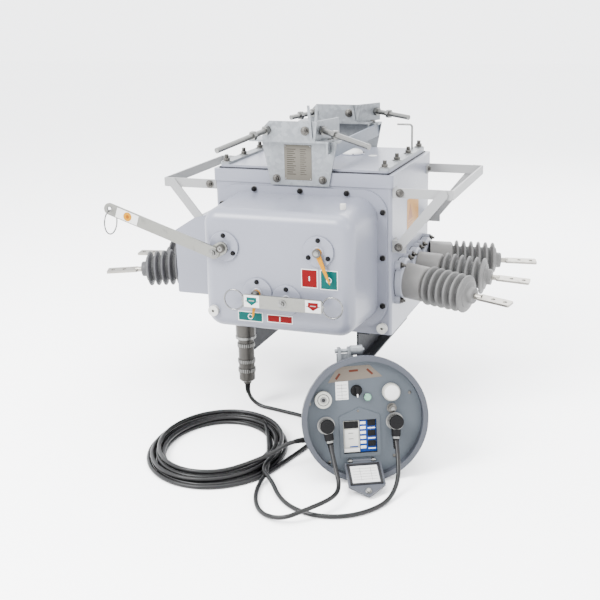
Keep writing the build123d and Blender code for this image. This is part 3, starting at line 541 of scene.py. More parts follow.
# How far the turns lie outside the middle turn at the start, and how far each goes in or out
LOW_TURNS, LOW_START, LOW_STEP = 4, 30.0, -15.2
HIGH_TURNS, HIGH_START, HIGH_STEP, SWAY = 3, -30.8, 17.0, 4
OVER_START, OVER_STEP, OVER_RISE = 8.0, -26.0, 14
LONG_ENTRY, SHORT_ENTRY = radians(-14), radians(-38)
TURN_POINTS = 15
TURN = 2 * pi / TURN_POINTS
CUT = 1 / cos(pi / TURN_POINTS)


def coil_point(angle, offset, z):
    """A point of the coil: its angle, its distance outside the middle turn and its height."""
    x = (COIL_MID[0] + offset) * CUT * cos(angle)
    y = (COIL_MID[1] + offset) * CUT * sin(angle)
    return (
        COIL_AT[0] + x * cos(COIL_TURN) - y * sin(COIL_TURN),
        COIL_AT[1] + x * sin(COIL_TURN) + y * cos(COIL_TURN),
        z,
    )


def long_cord_points():
    """Connector, floor, the coil's turns from outside in and back out on top, left plug."""
    made = list(FEED)
    for i in range(LOW_TURNS * TURN_POINTS):
        offset = LOW_START + LOW_STEP * i / TURN_POINTS
        made.append(coil_point(LONG_ENTRY - i * TURN, offset, CORD_LOW))
    for i in range(HIGH_TURNS * TURN_POINTS - 2):
        angle = LONG_ENTRY - (LOW_TURNS * TURN_POINTS + i) * TURN
        offset = HIGH_START + HIGH_STEP * i / TURN_POINTS + SWAY * sin(angle * 2)
        rise = min(1.0, (i + 1) / 3.0)
        made.append(coil_point(angle, offset, CORD_LOW + CORD_LIFT * rise))
    return made + LEFT


def short_cord_points():
    """Right plug, floor, one turn on top of the coil, gland of the controller."""
    made = list(RIGHT)
    for i in range(TURN_POINTS):
        offset = OVER_START + OVER_STEP * i / TURN_POINTS
        height = CORD_TOP - OVER_RISE if i == 0 else CORD_TOP
        made.append(coil_point(SHORT_ENTRY + i * TURN, offset, height))
    return made + TAIL


def cord_piece(name, points, width):
    """A cord as one NURBS spline through the frame."""
    data = bpy.data.curves.new(name, "CURVE")
    data.dimensions = "3D"
    data.bevel_depth = width / 2
    data.bevel_resolution = 5
    data.resolution_u = 6
    data.use_fill_caps = True
    spline = data.splines.new("NURBS")
    spline.points.add(len(points) - 1)
    for point, place in zip(spline.points, points):
        point.co = (*row(*place), 1)
    spline.order_u = 3
    spline.use_endpoint_u = True
    data.materials.append(LOOKS["cord"].material)
    made = bpy.data.objects.new(name, data)
    bpy.context.scene.collection.objects.link(made)
    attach(made, "switch")
    return made


# Azimuth, elevation and roll of the camera in degrees; the stage's places are in the frame's metres
CAMERA_TURN, CAMERA_AT = (20.84, 17.07, -1.34), (1.15901, -3.07615, 0.4795)
AIM_AT = (0.05, 0.0, -0.4)
FLOOR_HALF = 14.0


class SWITCH_OT_stage(bpy.types.Operator):
    """Set the camera, the floor and the soft lights"""

    bl_idname = "switch.stage"
    bl_label = "Stage"

    def execute(self, context):
        sizes = context.scene.studio_sizes
        scene = context.scene
        azimuth, elevation, roll = (radians(angle) for angle in CAMERA_TURN)
        back = Vector((sin(azimuth) * cos(elevation), -cos(azimuth) * cos(elevation), sin(elevation)))
        right = Vector((cos(azimuth), sin(azimuth), 0))
        up = back.cross(right)
        across = right * cos(roll) + up * sin(roll)
        upward = up * cos(roll) - right * sin(roll)
        data = bpy.data.cameras.new("Camera")
        data.lens, data.sensor_width = sizes.lens, 36.0
        data.clip_end = 60.0
        camera = bpy.data.objects.new("Camera", data)
        turn = Matrix((across, upward, back)).transposed().to_4x4()
        camera.matrix_world = Matrix.Translation(CAMERA_AT) @ turn
        scene.collection.objects.link(camera)
        scene.camera = camera

        floor = bmesh.new()
        bmesh.ops.create_grid(floor, x_segments=1, y_segments=1, size=FLOOR_HALF)
        bmesh.ops.translate(floor, vec=(0, 0, (FLOOR_Z - SEAT_Z) * MM), verts=floor.verts)
        mesh = bpy.data.meshes.new("Floor")
        floor.to_mesh(mesh)
        floor.free()
        f = Finish("Pale_floor", roughness=0.7)
        tone = tuple(sizes.floor_colour)
        f.set(Base_Color=f.mix(f.noise(2.0), shade(tone, 0.995), tone))
        mesh.materials.append(f.material)
        ground = bpy.data.objects.new("Floor", mesh)
        scene.collection.objects.link(ground)

        world = bpy.data.worlds.new("Studio")
        world.use_nodes = True
        world.node_tree.nodes["Background"].inputs["Color"].default_value = (0.97, 0.98, 1.0, 1)
        world.node_tree.nodes["Background"].inputs["Strength"].default_value = sizes.sky_strength
        scene.world = world
        lamps = (
            ("Key", (-1.7, -2.7, 2.2), 2.0, sizes.key_power),
            ("Fill", (3.2, -1.6, 1.2), 1.6, sizes.key_power * 0.12),
            ("Back", (0.4, 3.4, 2.2), 2.6, sizes.key_power * 0.3),
            ("Top", (0.0, -0.2, 3.4), 2.6, sizes.key_power * 0.35),
        )
        for name, place, size, power in lamps:
            light = bpy.data.lights.new(name, "AREA")
            light.shape, light.size, light.energy = "DISK", size, power
            lamp = bpy.data.objects.new(name, light)
            lamp.location = place
            aim = Vector(AIM_AT) - Vector(place)
            lamp.rotation_euler = aim.to_track_quat("-Z", "Y").to_euler()
            scene.collection.objects.link(lamp)
        return {"FINISHED"}


class SWITCH_OT_cords(bpy.types.Operator):
    """Lay the control cable: floor, coil, both plugs and the controller's gland"""

    bl_idname = "switch.cords"
    bl_label = "Control cable"

    def execute(self, context):
        looks(context.scene.switch_sizes)
        width = context.scene.switch_sizes.cord_width
        long_cord = cord_piece("control_cable_long", long_cord_points(), width)
        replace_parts(long_cord, "cord_feed", "cord_coil", "cord_left")
        short_cord = cord_piece("control_cable_short", short_cord_points(), width)
        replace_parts(short_cord, "cord_right", "cord_tail")
        return {"FINISHED"}


class SWITCH_OT_finishes(bpy.types.Operator):
    """Give each solid that stays its finish"""

    bl_idname = "switch.finishes"
    bl_label = "Finishes"

    def execute(self, context):
        coat("tank", "tank", "side_chamber", "lid", "mechanism_cover", "boss_plates")
        coat("guard", *[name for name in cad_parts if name.startswith("guard_")])
        coat("beam", "hanger_beams")
        coat("foot", "feet")
        coat("zinc", "hanger_front", "hanger_rear", "clamp_front", "clamp_rear", "lid_strips")
        coat("zinc", "controller_hanger")
        coat("collar", "collars_right", "collars_left")
        coat("bar", "charging_lever", "trip_lever", "lever_crank")
        coat("plated", "clamp_rods", "lid_hook", "trip_shaft", "flap_hinge", "controller_plugs")
        coat("dark_steel", "cable_plug", "cable_socket")
        coat("bright", "lever_ring", "trip_ring_left", "trip_ring_right")
        coat("yellow", "position_pointer", "energy_pointer")
        coat("tinned", "terminals_right", "terminals_left")
        coat("white_plastic", "earth_studs", "cover_vent")
        coat("controller", "controller_shell", "controller_flap")
        coat("panel", "controller_panel")
        # The fittings take the darker ivory under the cap's white top disc: painted light, the cap's top
        # lighter than its sides
        coat("ivory", "relay_modules", "controller_fittings")
        coat("black", "selector_knob")
        return {"FINISHED"}


WALL_FOOT = [(57.0, 27.0), (57.0, 97.0), (56.2, 101.0), (53.0, 104.6), (46.5, 107.6), (42.6, 109.5)]
CHAMBER_FOOT = [(52.0, 126.0), (43.5, 128.0)]
BUSH_END = [
    (42.6, 253.4), (43.4, 254.4), (42.6, 256.4), (38.0, 257.8), (30.0, 259.4),
    (26.8, 261.6), (26.2, 264.0), (26.0, 272.5), (24.4, 275.4), (9.0, 276.3),
]
CORE_R, CORE_END, CORE_LAP = 42.6, 256.0, 4.0
SHEDS, FIRST_SHED, SHED_PITCH = 6, 112.0, 25.0
SHED_TIP, SHED_TAPER = 63.0, 0.6


class SWITCH_OT_bushings(bpy.types.Operator):
    """Turn the six shedded bushings"""

    bl_idname = "switch.bushings"
    bl_label = "Bushings"

    def execute(self, context):
        steps = context.scene.switch_sizes.shed_steps
        for side, name, look, foot_look, foot in (
            # Right bushings: the foot in the lighter silicone copy, painted light where no shed shades it
            (1, "right", "silicone", "silicone_foot", WALL_FOOT),
            # Left bushings, foot and sheds, in the darker silicone copy: painted shade
            (-1, "left", "silicone_dark", "silicone_dark", CHAMBER_FOOT),
        ):
            for index, place in enumerate(("front", "middle", "rear")):
                node = f"bushing_{name}_{place}"
                axis = bush_axis(side, index)
                piece = Piece("silicone_" + node, look, slot="silicone_grey")
                piece.lathe(axis, foot, steps, foot_look)
                core = [(CORE_R, foot[-1][1] - CORE_LAP), (CORE_R, CORE_END)]
                # The core between the sheds takes the darker silicone: painted shade in the grooves
                piece.lathe(axis, core, steps, "silicone_core")
                for i in range(SHEDS):
                    low = FIRST_SHED + SHED_PITCH * i
                    if low > foot[0][1]:
                        piece.lathe(axis, self.shed(low, SHED_TIP - SHED_TAPER * i), steps)
                piece.lathe(axis, BUSH_END, steps)
                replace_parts(piece.finish(), node)
        return {"FINISHED"}

    def shed(self, low, tip):
        """One shed with a round tip, as a closed ring round the core."""
        inner = 42.0
        return [
            (inner, low - 0.8), (43.4, low), (46.5, low + 1.4), (tip - 7, low + 3.6),
            (tip - 2.4, low + 4.6), (tip - 0.6, low + 6.2), (tip, low + 8.4), (tip - 0.6, low + 10.6),
            (tip - 2.4, low + 12.2), (tip - 7, low + 13.2), (46.5, low + 15.6), (43.4, low + 17.2),
            (inner, low + 18.0), (inner, low - 0.8),
        ]


FLANGE_FACE = -8.0
FLANGE_BOLTS = [(x, z) for z in (460.0, 38.0) for x in (-158.0, 0.0, 156.0)]
FLANGE_BOLTS += [(x, z) for x in (-274.0, 274.0) for z in (405.0, 258.0, 100.0)]
BOSS_BOLT_R = 36.0


class SWITCH_OT_cover_bolts(bpy.types.Operator):
    """Set the capped bolts round the cover's flange and on the boss plates"""

    bl_idname = "switch.cover_bolts"
    bl_label = "Cover bolts"

    def execute(self, context):
        across = context.scene.switch_sizes.bolt_across
        washer, cap_height, nose = 2.0, 8.0, 4.0
        piece = Piece("cover_flange_bolts", "black", slot="black_plastic")
        for number, (x, z) in enumerate(FLANGE_BOLTS):
            place = turned(facing_front(x, FLANGE_FACE, z), 17.0 * number)
            piece.rod(place, across * 0.74, washer, sides=28, soft=0.5, look="bolt")
            cap = shifted(place, z=washer)
            piece.rod(cap, across * 0.66, cap_height, sides=6, soft=1.2)
            piece.rod(shifted(cap, z=cap_height), across * 0.46, nose, top=across * 0.34, soft=1.2)
        piece.finish()
        piece = Piece("boss_plate_bolts", "black", slot="black_plastic")
        seal = [(8.6, 0.0), (17.0, 0.0), (17.0, 2.4), (15.6, 3.4), (10.0, 3.4), (8.6, 2.6), (8.6, 0.0)]
        for number, (x, z) in enumerate(BOSSES.values()):
            for angle, bolt_x, bolt_z in around(x, z, BOSS_BOLT_R, (90, 210, 330)):
                spot = facing_front(bolt_x, BOSS_FACE, bolt_z)
                piece.hex_bolt(turned(spot, 23.0 * number + angle), 11.0, 5.0, 7.6)
            piece.lathe(facing_front(x, BOSS_FACE, z), seal, 36, "collar")
        piece.finish()
        return {"FINISHED"}


LEVER_ROOT = Vector((-192.0, 0.0, 308.0))
LEVER_ANGLE = 161.6
LEVER_LENGTH, LEVER_LABEL_AT = 373.0, 308.0
LEVER_FACE = BOSS_FACE - 26.0


class SWITCH_OT_charging(bpy.types.Operator):
    """Fit the charging lever's bolt, label, shaft end and eyelet"""

    bl_idname = "switch.charging"
    bl_label = "Charging lever fittings"

    def execute(self, context):
        along = Vector((cos(radians(LEVER_ANGLE)), 0, sin(radians(LEVER_ANGLE))))
        piece = Piece("charging_lever_fittings", "plated", body="charging_lever", slot="zinc")
        piece.nut(facing_front(LEVER_ROOT.x, LEVER_FACE, LEVER_ROOT.z), 17.0, 3.0)
        spot = LEVER_ROOT + along * LEVER_LABEL_AT
        label = turned(facing_front(spot.x, LEVER_FACE, spot.z), LEVER_ANGLE - 180.0)
        piece.block(label, 78.0, 32.0, FILM, look="white")
        piece.rod(shifted(label, 2.0, z=FILM), 14.5, 0.35, sides=48, look="sun")
        piece.rod(shifted(label, 2.0, z=FILM + 0.35), 5.5, 0.2, sides=32, look="amber")
        eye = LEVER_ROOT + along * LEVER_LENGTH
        eyelet = [(7.05, 0.0), (10.5, 0.0), (10.5, 0.8), (8.2, 1.2), (7.05, 0.6), (7.05, 0.0)]
        piece.lathe(facing_front(eye.x, LEVER_FACE, eye.z), eyelet, 32)
        piece.finish()
        piece = Piece("charging_shaft_end", "plated", body="charging_lever", slot="zinc")
        x, z = BOSSES["charging"]
        piece.rod(facing_front(x, LEVER_FACE, z), 13.5, 1.2, sides=36, soft=0.6, look="dark_steel")
        piece.rod(facing_front(x, LEVER_FACE, z), 8.0, 3.0, sides=28, soft=1.0)
        piece.rod(facing_front(x, LEVER_FACE - 3.0, z), 3.0, 0.4, sides=16, look="dark_steel")
        piece.finish()
        return {"FINISHED"}


TRIP_FACE = BOSS_FACE - 36.0
TRIP_LABEL_AT, TRIP_WELD_AT = 100.0, 129.0


class SWITCH_OT_trip(bpy.types.Operator):
    """Fit the trip bar's nut, end plates and ring welds"""

    bl_idname = "switch.trip"
    bl_label = "Trip bar fittings"

    def execute(self, context):
        x, z = BOSSES["trip"]
        piece = Piece("trip_bar_fittings", "plated", body="trip_lever", slot="zinc")
        piece.nut(facing_front(x, TRIP_FACE, z), 17.0, 4.0)
        flag = [(-16, 12.5), (-16, -2), (0, -13), (16, -2), (16, 12.5)]
        weld = [(0.2, 3.9), (4.0, 3.4), (5.6, 1.5), (5.6, -1.5), (4.0, -3.4), (0.2, -3.9)]
        for side, look in ((-1, "green"), (1, "red")):
            spot = facing_front(x + side * TRIP_LABEL_AT, TRIP_FACE, z)
            piece.block(spot, 50.0, 38.0, FILM, look="white")
            piece.block(shifted(spot, z=FILM), 43.0, 2.4, 0.2, look="grey_ink")
            piece.outline(shifted(spot, z=FILM + 0.2), flag, 0.3, look=look)
            piece.block(shifted(spot, 0.0, 2.0, FILM + 0.5), 18.0, 3.0, 0.2)
            piece.lathe(facing_front(x + side * TRIP_WELD_AT, TRIP_FACE + 3.0, z), weld, 20)
        piece.finish()
        return {"FINISHED"}


POINTER_FACE = BOSS_FACE - 12.2
HUB_CAP = 6.3


class SWITCH_OT_pointers(bpy.types.Operator):
    """Cap the two pointers' hubs"""

    bl_idname = "switch.pointers"
    bl_label = "Pointer hubs"

    def execute(self, context):
        for name in ("position", "energy"):
            x, z = BOSSES[name]
            body = name + "_pointer"
            piece = Piece(body + "_cap", "bolt", body=body, slot="zinc")
            hub = facing_front(x, POINTER_FACE, z)
            piece.rod(hub, 13.5, HUB_CAP, sides=40, soft=0.8)
            piece.rod(shifted(turned(hub, 14.0), z=HUB_CAP), 8.6, 2.2, sides=6, soft=0.5, look="plated")
            piece.finish()
        return {"FINISHED"}


# Left, right, bottom and top edges of each position plate, and its ink
POSITION_PLATES = (
    (83, 136, 211, 270, "red"), (144, 200, 209, 270, "green"),
    (-131, -47, 86, 118, "green"), (-33, 52, 89, 115, "red"),
)


class SWITCH_OT_labels(bpy.types.Operator):
    """Stick the red and green plates on the cover's front"""

    bl_idname = "switch.labels"
    bl_label = "Position plates"

    def execute(self, context):
        piece = Piece("position_plates", "white")
        border, paint, mark = 5, 0.3, 0.25
        for x0, x1, z0, z1, look in POSITION_PLATES:
            spot = facing_front((x0 + x1) / 2, FRONT, (z0 + z1) / 2)
            piece.block(spot, x1 - x0, z1 - z0, FILM)
            piece.block(shifted(spot, z=FILM), x1 - x0 - border, z1 - z0 - border, paint, look=look)
            top = shifted(spot, z=FILM + paint)
            if look == "red":
                piece.block(top, 3.0, 15.0, mark)
            else:
                piece.lathe(top, [(6.0, 0.0), (8.8, 0.0), (8.8, mark), (6.0, mark), (6.0, 0.0)], 36)
        piece.finish()
        return {"FINISHED"}


SEAL_IN, SEAL_OUTSIDE, SEAL_INSIDE = 14.0, 3.0, 5.0
STRIP_BOLT_X, STRIP_BOLT_PITCH = 269.0, 142.0
RELIEF_X, RELIEF_Y = 75.0, 310.0
RELIEF_DOME = [(35.0, 0.0), (34.6, 3.0), (31.0, 8.0), (22.0, 12.0), (11.0, 13.8), (0.05, 14.2)]


class SWITCH_OT_lid(bpy.types.Operator):
    """Set the lid's seal and bolts, the relief disc's dome and a painted highlight on the lid"""

    bl_idname = "switch.lid"
    bl_label = "Lid fittings"

    def execute(self, context):
        piece = Piece("lid_seal", "gasket", slot="black_plastic")
        wide = WALL_X - SEAL_IN + SEAL_OUTSIDE
        near, far = SEAL_IN - SEAL_OUTSIDE, DEPTH - SEAL_IN + SEAL_OUTSIDE
        bar = SEAL_OUTSIDE + SEAL_INSIDE
        for x0, x1, y0, y1 in (
            (-wide, wide, near, near + bar), (-wide, wide, far - bar, far),
            (-wide, bar - wide, near, far), (wide - bar, wide, near, far),
        ):
            piece.block(facing_up((x0 + x1) / 2, (y0 + y1) / 2, 520.0), x1 - x0, y1 - y0, 3.6, soft=0.8)
        piece.finish()
        piece = Piece("lid_bolts", "bolt", slot="zinc")
        for side in (-1, 1):
            for i in range(4):
                spot = facing_up(side * STRIP_BOLT_X, DEPTH / 2 + (i - 1.5) * STRIP_BOLT_PITCH, STRIP_TOP)
                place = turned(spot, 31.0 * i + 7 * side)
                piece.rod(place, 15.0, 2.6, sides=28, soft=0.8, look="plated")
                piece.hex_bolt(shifted(place, z=2.6), 19.0, 9.0)
                piece.rod(shifted(place, z=11.0), 6.5, 12.0, sides=20, soft=1.6, look="dark_steel")
        piece.finish()
        piece = Piece("relief_disc_dome_bolts_and_painted_highlight", "white", slot="painted_grey")
        piece.lathe(facing_up(RELIEF_X, RELIEF_Y, LID_TOP + 3.9), RELIEF_DOME, 48)
        # A flat white disc on the lid: painted highlight
        piece.rod(facing_up(154.0, 287.0, LID_TOP), 15.0, 0.6, sides=40)
        for _, x, y in around(RELIEF_X, RELIEF_Y, 37.5, (20, 110, 200, 290)):
            piece.hex_bolt(facing_up(x, y, LID_TOP + 3.6), 6.0, 2.6, look="bolt")
        piece.finish()
        return {"FINISHED"}


HANGER_T = 10.0
SHELF_TOP = 618.0
JAW_Z, JAW_BOLT_X, JAW_ROD_X = 655.0, 32.0, -95.0
PLATE_W, PLATE_H, PLATE_ROWS, ROW_PITCH = 92.0, 112.0, 13, 6.6


class SWITCH_OT_hanger(bpy.types.Operator):
    """Bolt the hanger plates and clamps and rivet the rating plate"""

    bl_idname = "switch.hanger"
    bl_label = "Hanger fittings"

    def execute(self, context):
        piece = Piece("hanger_bolts", "bolt", slot="zinc")
        for y, facing in ((-HANGER_T, facing_front), (DEPTH + HANGER_T, facing_rear)):
            for x in (-78.0, 78.0):
                piece.nut(turned(facing(x, y, 498.0), 12.0 + x), 17.0, 5.0)
        for x, turn in ((-96.0, -112.0), (96.0, 112.0)):
            for y in (14.0, DEPTH - 14.0):
                piece.hex_bolt(turned(facing_up(x, y, SHELF_TOP), turn), 16.0, washer=13.0)
        for shift, y in ((0.0, -38.0), (-4.0, 417.0)):
            piece.nut(turned(facing_front(JAW_BOLT_X + shift, y, JAW_Z), 11.0), 18.0, 4.0)
            piece.hex_bolt(turned(facing_front(JAW_ROD_X + shift, y, JAW_Z), 20.0), 18.0, 8.0, 14.0)
        piece.finish()
        piece = Piece("rating_plate", "plate", slot="galvanised")
        spot = facing_front(-4.0, -HANGER_T, 551.0)
        piece.block(spot, PLATE_W, PLATE_H, 1.0, soft=0.3)
        top = shifted(spot, z=1.0)
        for i in range(PLATE_ROWS):
            long = (30.0, 24.0, 28.0, 20.0)[i % 4]
            y = 42 - ROW_PITCH * i
            piece.block(shifted(top, -37 + long / 2, y), long, 2.4, 0.2, look="text")
            piece.block(shifted(top, 8 + long / 3, y), long * 0.7, 1.8, 0.2, look="text")
        rivet = [(2.4, 0.0), (2.2, 0.8), (1.2, 1.4), (0.05, 1.6)]
        for x in (-42.0, 42.0):
            for y in (-52.0, 52.0):
                piece.lathe(shifted(top, x, y), rivet, 16, "plated")
        piece.finish()
        return {"FINISHED"}


GUARD_Z, BRACE_Z = 465.0, 294.0
GUARD_EDGE, GUARD_INNER = 8.0, 28.0


class SWITCH_OT_guards(bpy.types.Operator):
    """Bolt the guards to the walls and to each other"""

    bl_idname = "switch.guards"
    bl_label = "Guard bolts"

    def execute(self, context):
        piece = Piece("guard_bolts", "bolt", slot="zinc")
        for side, facing in ((1, facing_right), (-1, facing_left)):
            foot, arm, brace = (side * (WALL_X + out) for out in (6.0, 24.0, 22.0))
            for end in (-1, 1):
                edge = GUARD_EDGE if end < 0 else DEPTH - GUARD_EDGE
                inner = edge - end * GUARD_INNER
                outward = facing_front if end < 0 else facing_rear
                piece.hex_bolt(facing(foot, inner, GUARD_Z), 14.0, washer=11.0)
                piece.nut(outward(arm, edge, GUARD_Z), 17.0, 4.0)
                if side > 0:
                    piece.hex_bolt(facing(foot, inner, BRACE_Z), 14.0, washer=11.0)
                    piece.nut(outward(brace, edge + end * 6.0, BRACE_Z), 17.0, 4.0)
        piece.finish()
        return {"FINISHED"}


COLLAR_FACE, COLLAR_BOLT_R = WALL_X + 18.0, 77.0
CHAMBER_FACE, CHAMBER_BOLT_R = WALL_X + 158.0, 50.0
COLLAR_SEAL = [(68.0, 0.0), (70.4, 0.0), (70.4, 2.0), (68.0, 2.0), (68.0, 0.0)]


class SWITCH_OT_collars(bpy.types.Operator):
    """Bolt the bushings' collars and seal them to the wall"""

    bl_idname = "switch.collars"
    bl_label = "Collar fittings"

    def execute(self, context):
        bolts = Piece("collar_bolts", "bolt", slot="zinc")
        seals = Piece("collar_seals", "gasket", slot="black_plastic")
        for bush_y in BUSH_Y:
            for angle, y, z in around(bush_y, BUSH_Z, COLLAR_BOLT_R, (50, 130, 230, 310)):
                bolts.nut(turned(facing_right(COLLAR_FACE, y, z), angle), 15.0, 7.0)
            seals.lathe(facing_right(WALL_X, bush_y, BUSH_Z), COLLAR_SEAL, 56)
        for index in range(3):
            axis = bush_axis(-1, index)
            out = axis.to_3x3() @ Vector((0, 0, 1))
            start = axis.translation
            centre = start + out * ((-CHAMBER_FACE - start.x) / out.x)
            for angle, y, z in around(centre.y, centre.z, CHAMBER_BOLT_R, (45, 135, 225, 315)):
                bolts.hex_bolt(turned(facing_left(centre.x - 10.0, y, z), angle), 8.0, 4.0)
        bolts.finish()
        seals.finish()
        return {"FINISHED"}


RIBS_ROUND = 28


class SWITCH_OT_connector(bpy.types.Operator):
    """Knurl the cable connector under the cover"""

    bl_idname = "switch.connector"
    bl_label = "Cable connector"

    def execute(self, context):
        x, y = CONNECTOR
        piece = Piece("connector_rings", "plated", slot="zinc")
        for z in (-130.0, -98.0, -42.0):
            for i in range(RIBS_ROUND):
                place = turned(facing_up(x, y, z), 360 * i / RIBS_ROUND)
                piece.block(shifted(place, 28.0, 0.0, 1.0), 2.0, 3.4, 12.0, soft=0.6)
        for _, bolt_x, bolt_y in around(x, y, 36.0, (45, 135, 225, 315)):
            piece.hex_bolt(facing_down(bolt_x, bolt_y, 38.0), 6.0, 3.0)
        piece.lathe(facing_up(x, y, -14.0), [(32.0, 0), (33.6, 1.0), (33.6, 9.0), (32.0, 10.0)], 44)
        piece.finish()
        return {"FINISHED"}


PLUG_U, PLUG_RISE, PLUG_NECK = -14.0, 0.10, 44.0
PLUG_HEAD = PANEL + 24.0
PLUG_RIBS = 24
BOOT_RIBS, BOOT_PITCH = 5, 6.0
PLUG_FLANGE = [(21.0, 0.0), (25.0, 0.0), (25.0, 3.0), (21.0, 3.6)]
NECK_SLEEVE = [(11.1, 0.0), (13.0, 1.0), (13.0, 18.0), (10.0, 21.0), (6.3, 21.5)]


class SWITCH_OT_plugs(bpy.types.Operator):
    """Fit the coupling rings, caps and strain reliefs of the plugs"""

    bl_idname = "switch.plugs"
    bl_label = "Plugs"

    def execute(self, context):
        rings = Piece("plug_rings", "plated", slot="zinc")
        boots = Piece("strain_reliefs", "black", slot="black_plastic")
        for x, lean in ((-110.0, 0.14), (86.0, -0.07)):
            place = on_panel(x, PLUG_U)
            rings.lathe(place, PLUG_FLANGE, 40)
            boots.rod(shifted(place, 0.0, 3.0, 30.0), 21.0, 9.0, top=19.0, sides=40, soft=2.4)
            for i in range(PLUG_RIBS):
                rib = shifted(turned(place, 360 * i / PLUG_RIBS), 21.2, 0.0, 4.5)
                rings.block(rib, 2.0, 3.0, 9.0, soft=0.5)
            way = Vector((lean, -1.0, PLUG_RISE)).normalized()
            end = DIAL @ (Vector((x, PLUG_U, PLUG_HEAD)) + way * PLUG_NECK)
            out = DIAL.to_3x3() @ way
            boots.lathe(seat(end - out * 26.0, (0, 0, 1), out), NECK_SLEEVE, 28)
            boots.lathe(seat(end - out * 6.0, (0, 0, 1), out), self.boot(), 28)
        gland, before = Vector(TAIL[-1]), Vector(TAIL[-2])
        boots.lathe(seat(gland, (0, 1, 0), before - gland), self.boot(), 28)
        boots.lathe(facing_down(*FEED[0]), self.boot(), 28)
        rings.finish()
        boots.finish()
        return {"FINISHED"}

    def boot(self):
        """A tapered, ribbed strain relief."""
        profile = [(6.3, 0.0), (9.6, 0.0)]
        for i in range(BOOT_RIBS):
            z = 3.0 + BOOT_PITCH * i
            wide = 9.6 - 0.5 * i
            profile += [(wide, z), (wide - 0.2, z + 3.2), (wide - 1.5, z + 3.8), (wide - 1.7, z + 5.4)]
        return profile + [(7.0, 34.0), (6.4, 35.0)]


BUSH_AT, CAP_AT, TAP_AT = (-116.0, 61.0), (78.0, 71.0), (79.0, 24.0)
LAMP_AT, KNOB_AT = (11.0, 60.0), (-20.0, 80.0)
# Place, width and lean of each printed mark on the arched label
ARCH_MARKS = ((-71.0, 123.0, 20.0, 52.0), (-26.0, 137.0, 26.0, 2.0), (20.0, 132.0, 22.0, -44.0))
LAMP_LENS = [(10.2, 0.0), (10.4, 6.2), (8.0, 8.4), (0.05, 9.4)]
# A grey ring in the bush's recess: painted shade
BUSH_RECESS_SHADE = [(15.0, -0.4), (17.4, -0.4), (16.6, 0.5), (15.4, 0.5), (15.0, -0.4)]
BUSH_EYE = [(5.0, 0.0), (8.8, 0.0), (8.2, 1.6), (5.6, 1.6), (5.0, 0.0)]
TAP_BODY = [(10.2, 0.0), (14.0, 0.0), (14.0, 2.6), (10.6, 3.4), (10.6, 12.8), (8.8, 13.8), (0.05, 13.8)]
SCREWS = ((82, -114), (-104, -121), (132, 65), (-154, 50))
WINDOW_LEFT, WINDOW_RIGHT = -61.6, 33.6


class SWITCH_OT_panel(bpy.types.Operator):
    """Dress the controller's panel: plates, screws, lamp, knob and window trim"""

    bl_idname = "switch.panel"
    bl_label = "Controller panel"

    def execute(self, context):
        piece = Piece("panel_plates", "white")
        piece.block(on_panel(-61.0, 82.0), 36.0, 52.0, FILM)
        for i in range(5):
            piece.block(on_panel(-61.0, 98.0 - 9.5 * i, FILM), 29.0, 0.9, 0.2, look="grey_ink")
        piece.block(on_panel(-61.0, 80.0, FILM), 0.9, 40.0, 0.2, look="grey_ink")
        arch = [(-100, 106), (56, 116), (20, 151), (-70, 150)]
        piece.outline(on_panel(0.0, 0.0), arch, FILM, look="beige")
        for x, u, wide, lean in ARCH_MARKS:
            piece.block(turned(on_panel(x, u, FILM), lean), wide, 6.0, 0.2, look="rust")
        piece.lathe(on_panel(*LAMP_AT), LAMP_LENS, 32, "lamp")
        piece.finish()
        piece = Piece("panel_screws", "bolt", slot="zinc")
        for x, u in SCREWS:
            piece.lathe(on_panel(x, u), self.screw(5.0), 20)
        piece.lathe(on_panel(-18, 22, 2.5), self.screw(3.6), 20)
        bush = on_panel(*BUSH_AT, 14.0)
        # Grey ring in the bush's recess: painted shade
        piece.lathe(bush, BUSH_RECESS_SHADE, 40, "grey_ink")
        piece.lathe(bush, BUSH_EYE, 28, "plated")
        # A dark disc in the bush's eye: painted shade of the hole
        piece.rod(bush, 5.2, 1.0, sides=20, look="gasket")
        # A white disc on the fixed cap's top over its darker ivory body: painted light on the top face
        piece.rod(on_panel(*CAP_AT, 18.0), 21.0, 1.0, sides=44, soft=0.8, look="white")
        tap = on_panel(*TAP_AT)
        piece.lathe(tap, TAP_BODY, 36)
        piece.rod(shifted(tap, z=13.8), 6.0, 4.0, sides=6, soft=0.8, look="plated")
        piece.finish()
        piece = Piece("window_seal", "gasket", slot="black_plastic")
        middle, width = (WINDOW_LEFT + WINDOW_RIGHT) / 2, WINDOW_RIGHT - WINDOW_LEFT
        for u in (-99.0, -5.0):
            piece.block(on_panel(middle, u, -4.0), width, 1.2, 4.2, soft=0.3)
        piece.finish()
        piece = Piece("knob_pointer", "white", body="selector_knob", slot="nylon_white")
        knob = on_panel(*KNOB_AT)
        piece.block(shifted(knob, 0.0, -11.0, 21.2), 3.4, 9.0, 0.6, soft=0.2)
        piece.rod(shifted(knob, z=1.4), 17.0, 6.0, top=14.5, sides=40, soft=1.0, look="black")
        piece.finish()
        return {"FINISHED"}

    def screw(self, size):
        """A domed screw head."""
        return [(size, 0.0), (size * 0.94, size * 0.3), (size * 0.6, size * 0.5), (0.05, size * 0.56)]


RELAY_FACE, RELAY_T, RELAY_U, RELAY_TALL = -4.5, 1.6, -52.0, 91.0


